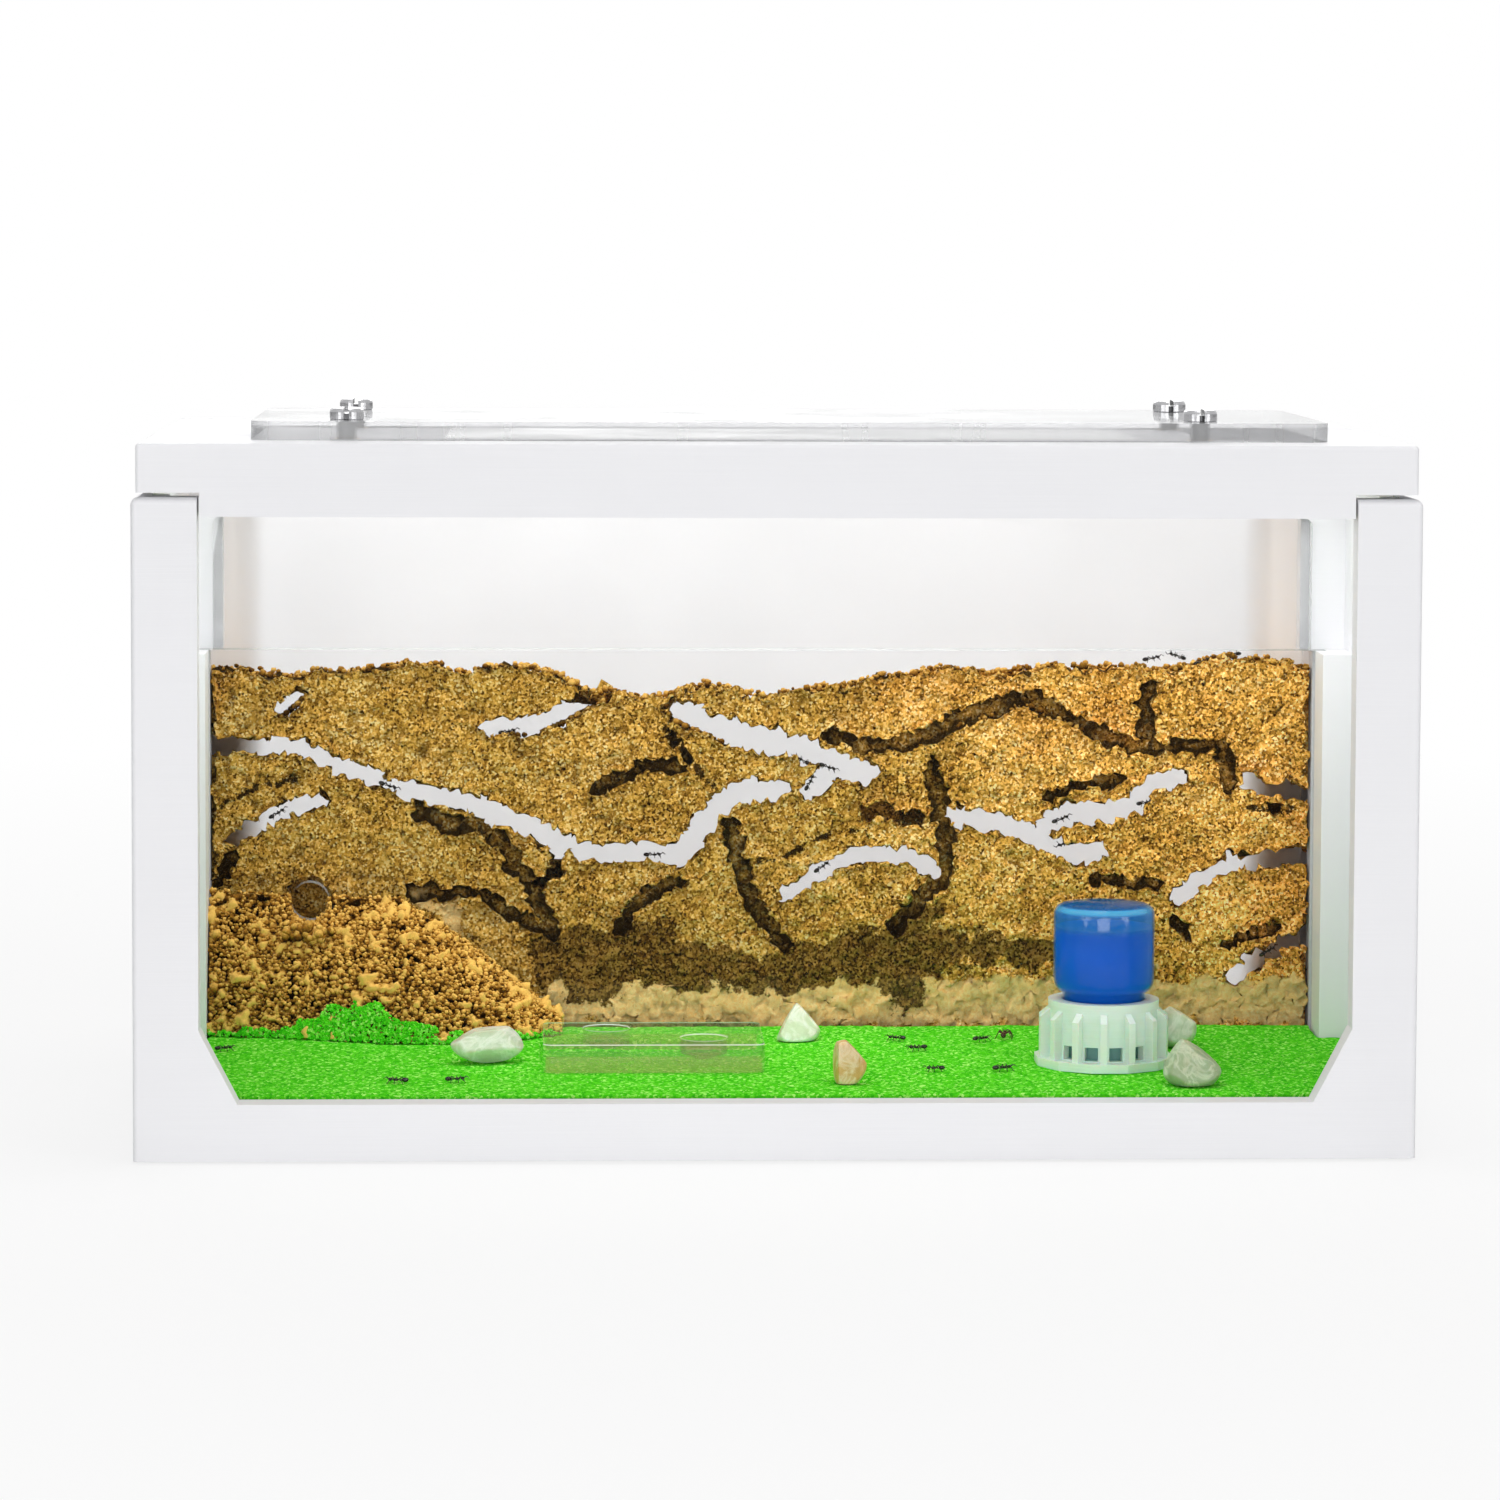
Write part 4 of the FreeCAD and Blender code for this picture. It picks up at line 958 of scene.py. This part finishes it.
def antGroup(name, matrices, material):
    shape = antMesh()
    bm = bmesh.new()
    for matrix in matrices:
        copy = shape.copy()
        copy.transform(matrix)
        bm.from_mesh(copy)
        bpy.data.meshes.remove(copy)
    piece = newPiece(name, bm, material)
    ride(piece, "root", "coarse_sand")


antScale = 0.95 * mm


def onFloor(x, y, heading, length):
    low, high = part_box("foraging_floor")
    share = (y * mm - low.y) / (high.y - low.y)
    height = 9.0 * mm + 3.5 * mm * share
    return (
        Matrix.Translation((x * mm, y * mm, height)) @ Matrix.Rotation(math.radians(heading), 4, "Z")
        @ Matrix.Scale(length * antScale, 4)
    )


def inNest(x, z, heading, length):
    # side on to the pane, with the feet down
    return (
        Matrix.Translation((x * mm, slabLow.y + 1.3 * mm, z * mm)) @ Matrix.Rotation(-math.radians(heading), 4, "Y")
        @ Matrix.Scale(length * antScale, 4) @ Matrix.Translation((0, 0, -0.12))
    )


antGroup("floorAnts", [onFloor(*place) for place in antSettings["floor"]], antLook("antBlack", (0.012, 0.01, 0.009)))
antGroup("nestAnts", [inNest(*place) for place in antSettings["nest"] + antSettings["crest"]], antLook("antDark", (0.015, 0.01, 0.008)))
antGroup("queenAnt", [onFloor(*antSettings["queen"])], antLook("antRed", (0.05, 0.015, 0.01)))
print("ants made")


# Studio: white floor and world, soft lamps and the camera

studio = {
    "worldStrength": 0.18, "floorColor": 0.82,
    "lens": 126.2, "yaw": 2.22, "pitch": 4.0, "roll": 0.229, "shiftY": -0.11,
}


def whiteWorld():
    world = bpy.data.worlds.new("studio")
    scene.world = world
    world.use_nodes = True
    nodes, links = world.node_tree.nodes, world.node_tree.links
    background = nodes["Background"]
    background.inputs["Color"].default_value = (1, 1, 1, 1)
    path = nodes.new("ShaderNodeLightPath")
    seen = nodes.new("ShaderNodeMath")
    seen.operation = "MAXIMUM"
    links.new(path.outputs["Is Camera Ray"], seen.inputs[0])
    links.new(path.outputs["Is Glossy Ray"], seen.inputs[1])
    through = nodes.new("ShaderNodeMath")
    through.operation = "MAXIMUM"
    links.new(seen.outputs[0], through.inputs[0])
    links.new(path.outputs["Is Transmission Ray"], through.inputs[1])
    strength = nodes.new("ShaderNodeMapRange")
    strength.inputs["To Min"].default_value = studio["worldStrength"]
    strength.inputs["To Max"].default_value = 1.0
    links.new(through.outputs[0], strength.inputs["Value"])
    links.new(strength.outputs["Result"], background.inputs["Strength"])


def whiteFloor():
    bm = bmesh.new()
    bmesh.ops.create_grid(bm, x_segments=1, y_segments=1, size=6.0)
    look = Shading("floorWhite", (studio["floorColor"],) * 3, 0.9)
    nodes, links = look.tree.nodes, look.tree.links
    glow = nodes.new("ShaderNodeEmission")
    glow.inputs["Color"].default_value = (1, 1, 1, 1)
    glow.inputs["Strength"].default_value = 1.0
    path = nodes.new("ShaderNodeLightPath")
    flat = nodes.new("ShaderNodeVectorMath")
    flat.operation = "LENGTH"
    links.new(look.coordinates, flat.inputs[0])
    fade = look.between(flat.outputs["Value"], 0.12, 0.6, 0.8, 1.0)
    share = look.math("MULTIPLY", path.outputs["Is Camera Ray"], fade)
    blend = nodes.new("ShaderNodeMixShader")
    links.new(share, blend.inputs["Fac"])
    links.new(look.shader.outputs["BSDF"], blend.inputs[1])
    links.new(glow.outputs["Emission"], blend.inputs[2])
    links.new(blend.outputs["Shader"], nodes["Material Output"].inputs["Surface"])
    ground = newPiece("studioFloor", bm, look.material, False)
    ground.location = (0, 0, -0.0004)


def softLamp(name, place, aim, size, power):
    lamp = bpy.data.lights.new(name, "AREA")
    lamp.shape = "DISK"
    lamp.size = size
    lamp.energy = power
    holder = bpy.data.objects.new(name, lamp)
    scene.collection.objects.link(holder)
    holder.location = place
    holder.rotation_euler = (Vector(aim) - Vector(place)).to_track_quat("-Z", "Y").to_euler()


def inLidLamp(name, y, depth, power):
    # a soft panel under the lid, because the photograph shows the inside as bright as the outside
    softLamp(name, (0.0, y, 0.1025), (0, y, 0), 0.19, power)
    holder = bpy.data.objects[name]
    holder.rotation_euler = (0, 0, 0)
    holder.data.shape = "RECTANGLE"
    holder.data.size_y = depth
    holder.visible_camera = False
    holder.visible_glossy = False
    holder.visible_transmission = False


whiteWorld()
whiteFloor()
softLamp("frontLamp", (-0.15, -1.6, 0.25), (0, 0, 0.05), 0.9, 8.4)
softLamp("leftLamp", (-1.2, -1.1, 0.4), (0, 0, 0.05), 0.8, 4.9)
softLamp("rightLamp", (1.2, -1.1, 0.4), (0, 0, 0.05), 0.8, 6.2)
softLamp("topLamp", (0.1, -0.1, 1.5), (0, 0, 0.05), 0.9, 8.5)
softLamp("backLamp", (0.0, 1.3, 0.6), (0, 0, 0.05), 0.9, 5.6)
inLidLamp("floorLamp", -0.018, 0.044, 0.07)
inLidLamp("nestLamp", 0.026, 0.03, 0.014)

cameraData = bpy.data.cameras.new("view")
cameraData.sensor_width = 36.0
cameraData.lens = studio["lens"]
cameraData.shift_y = studio["shiftY"]
cameraData.clip_start = 0.01
camera = bpy.data.objects.new("view", cameraData)
scene.collection.objects.link(camera)
camera.location = viewEye
turn = Matrix.Rotation(-math.radians(studio["yaw"]), 4, "Z")
tilt = Matrix.Rotation(math.radians(90.0 - studio["pitch"]), 4, "X")
roll = Matrix.Rotation(math.radians(studio["roll"]), 4, "Z")
camera.rotation_euler = (turn @ tilt @ roll).to_euler()
scene.camera = camera
scene.view_settings.view_transform = "Standard"
print("studio set")
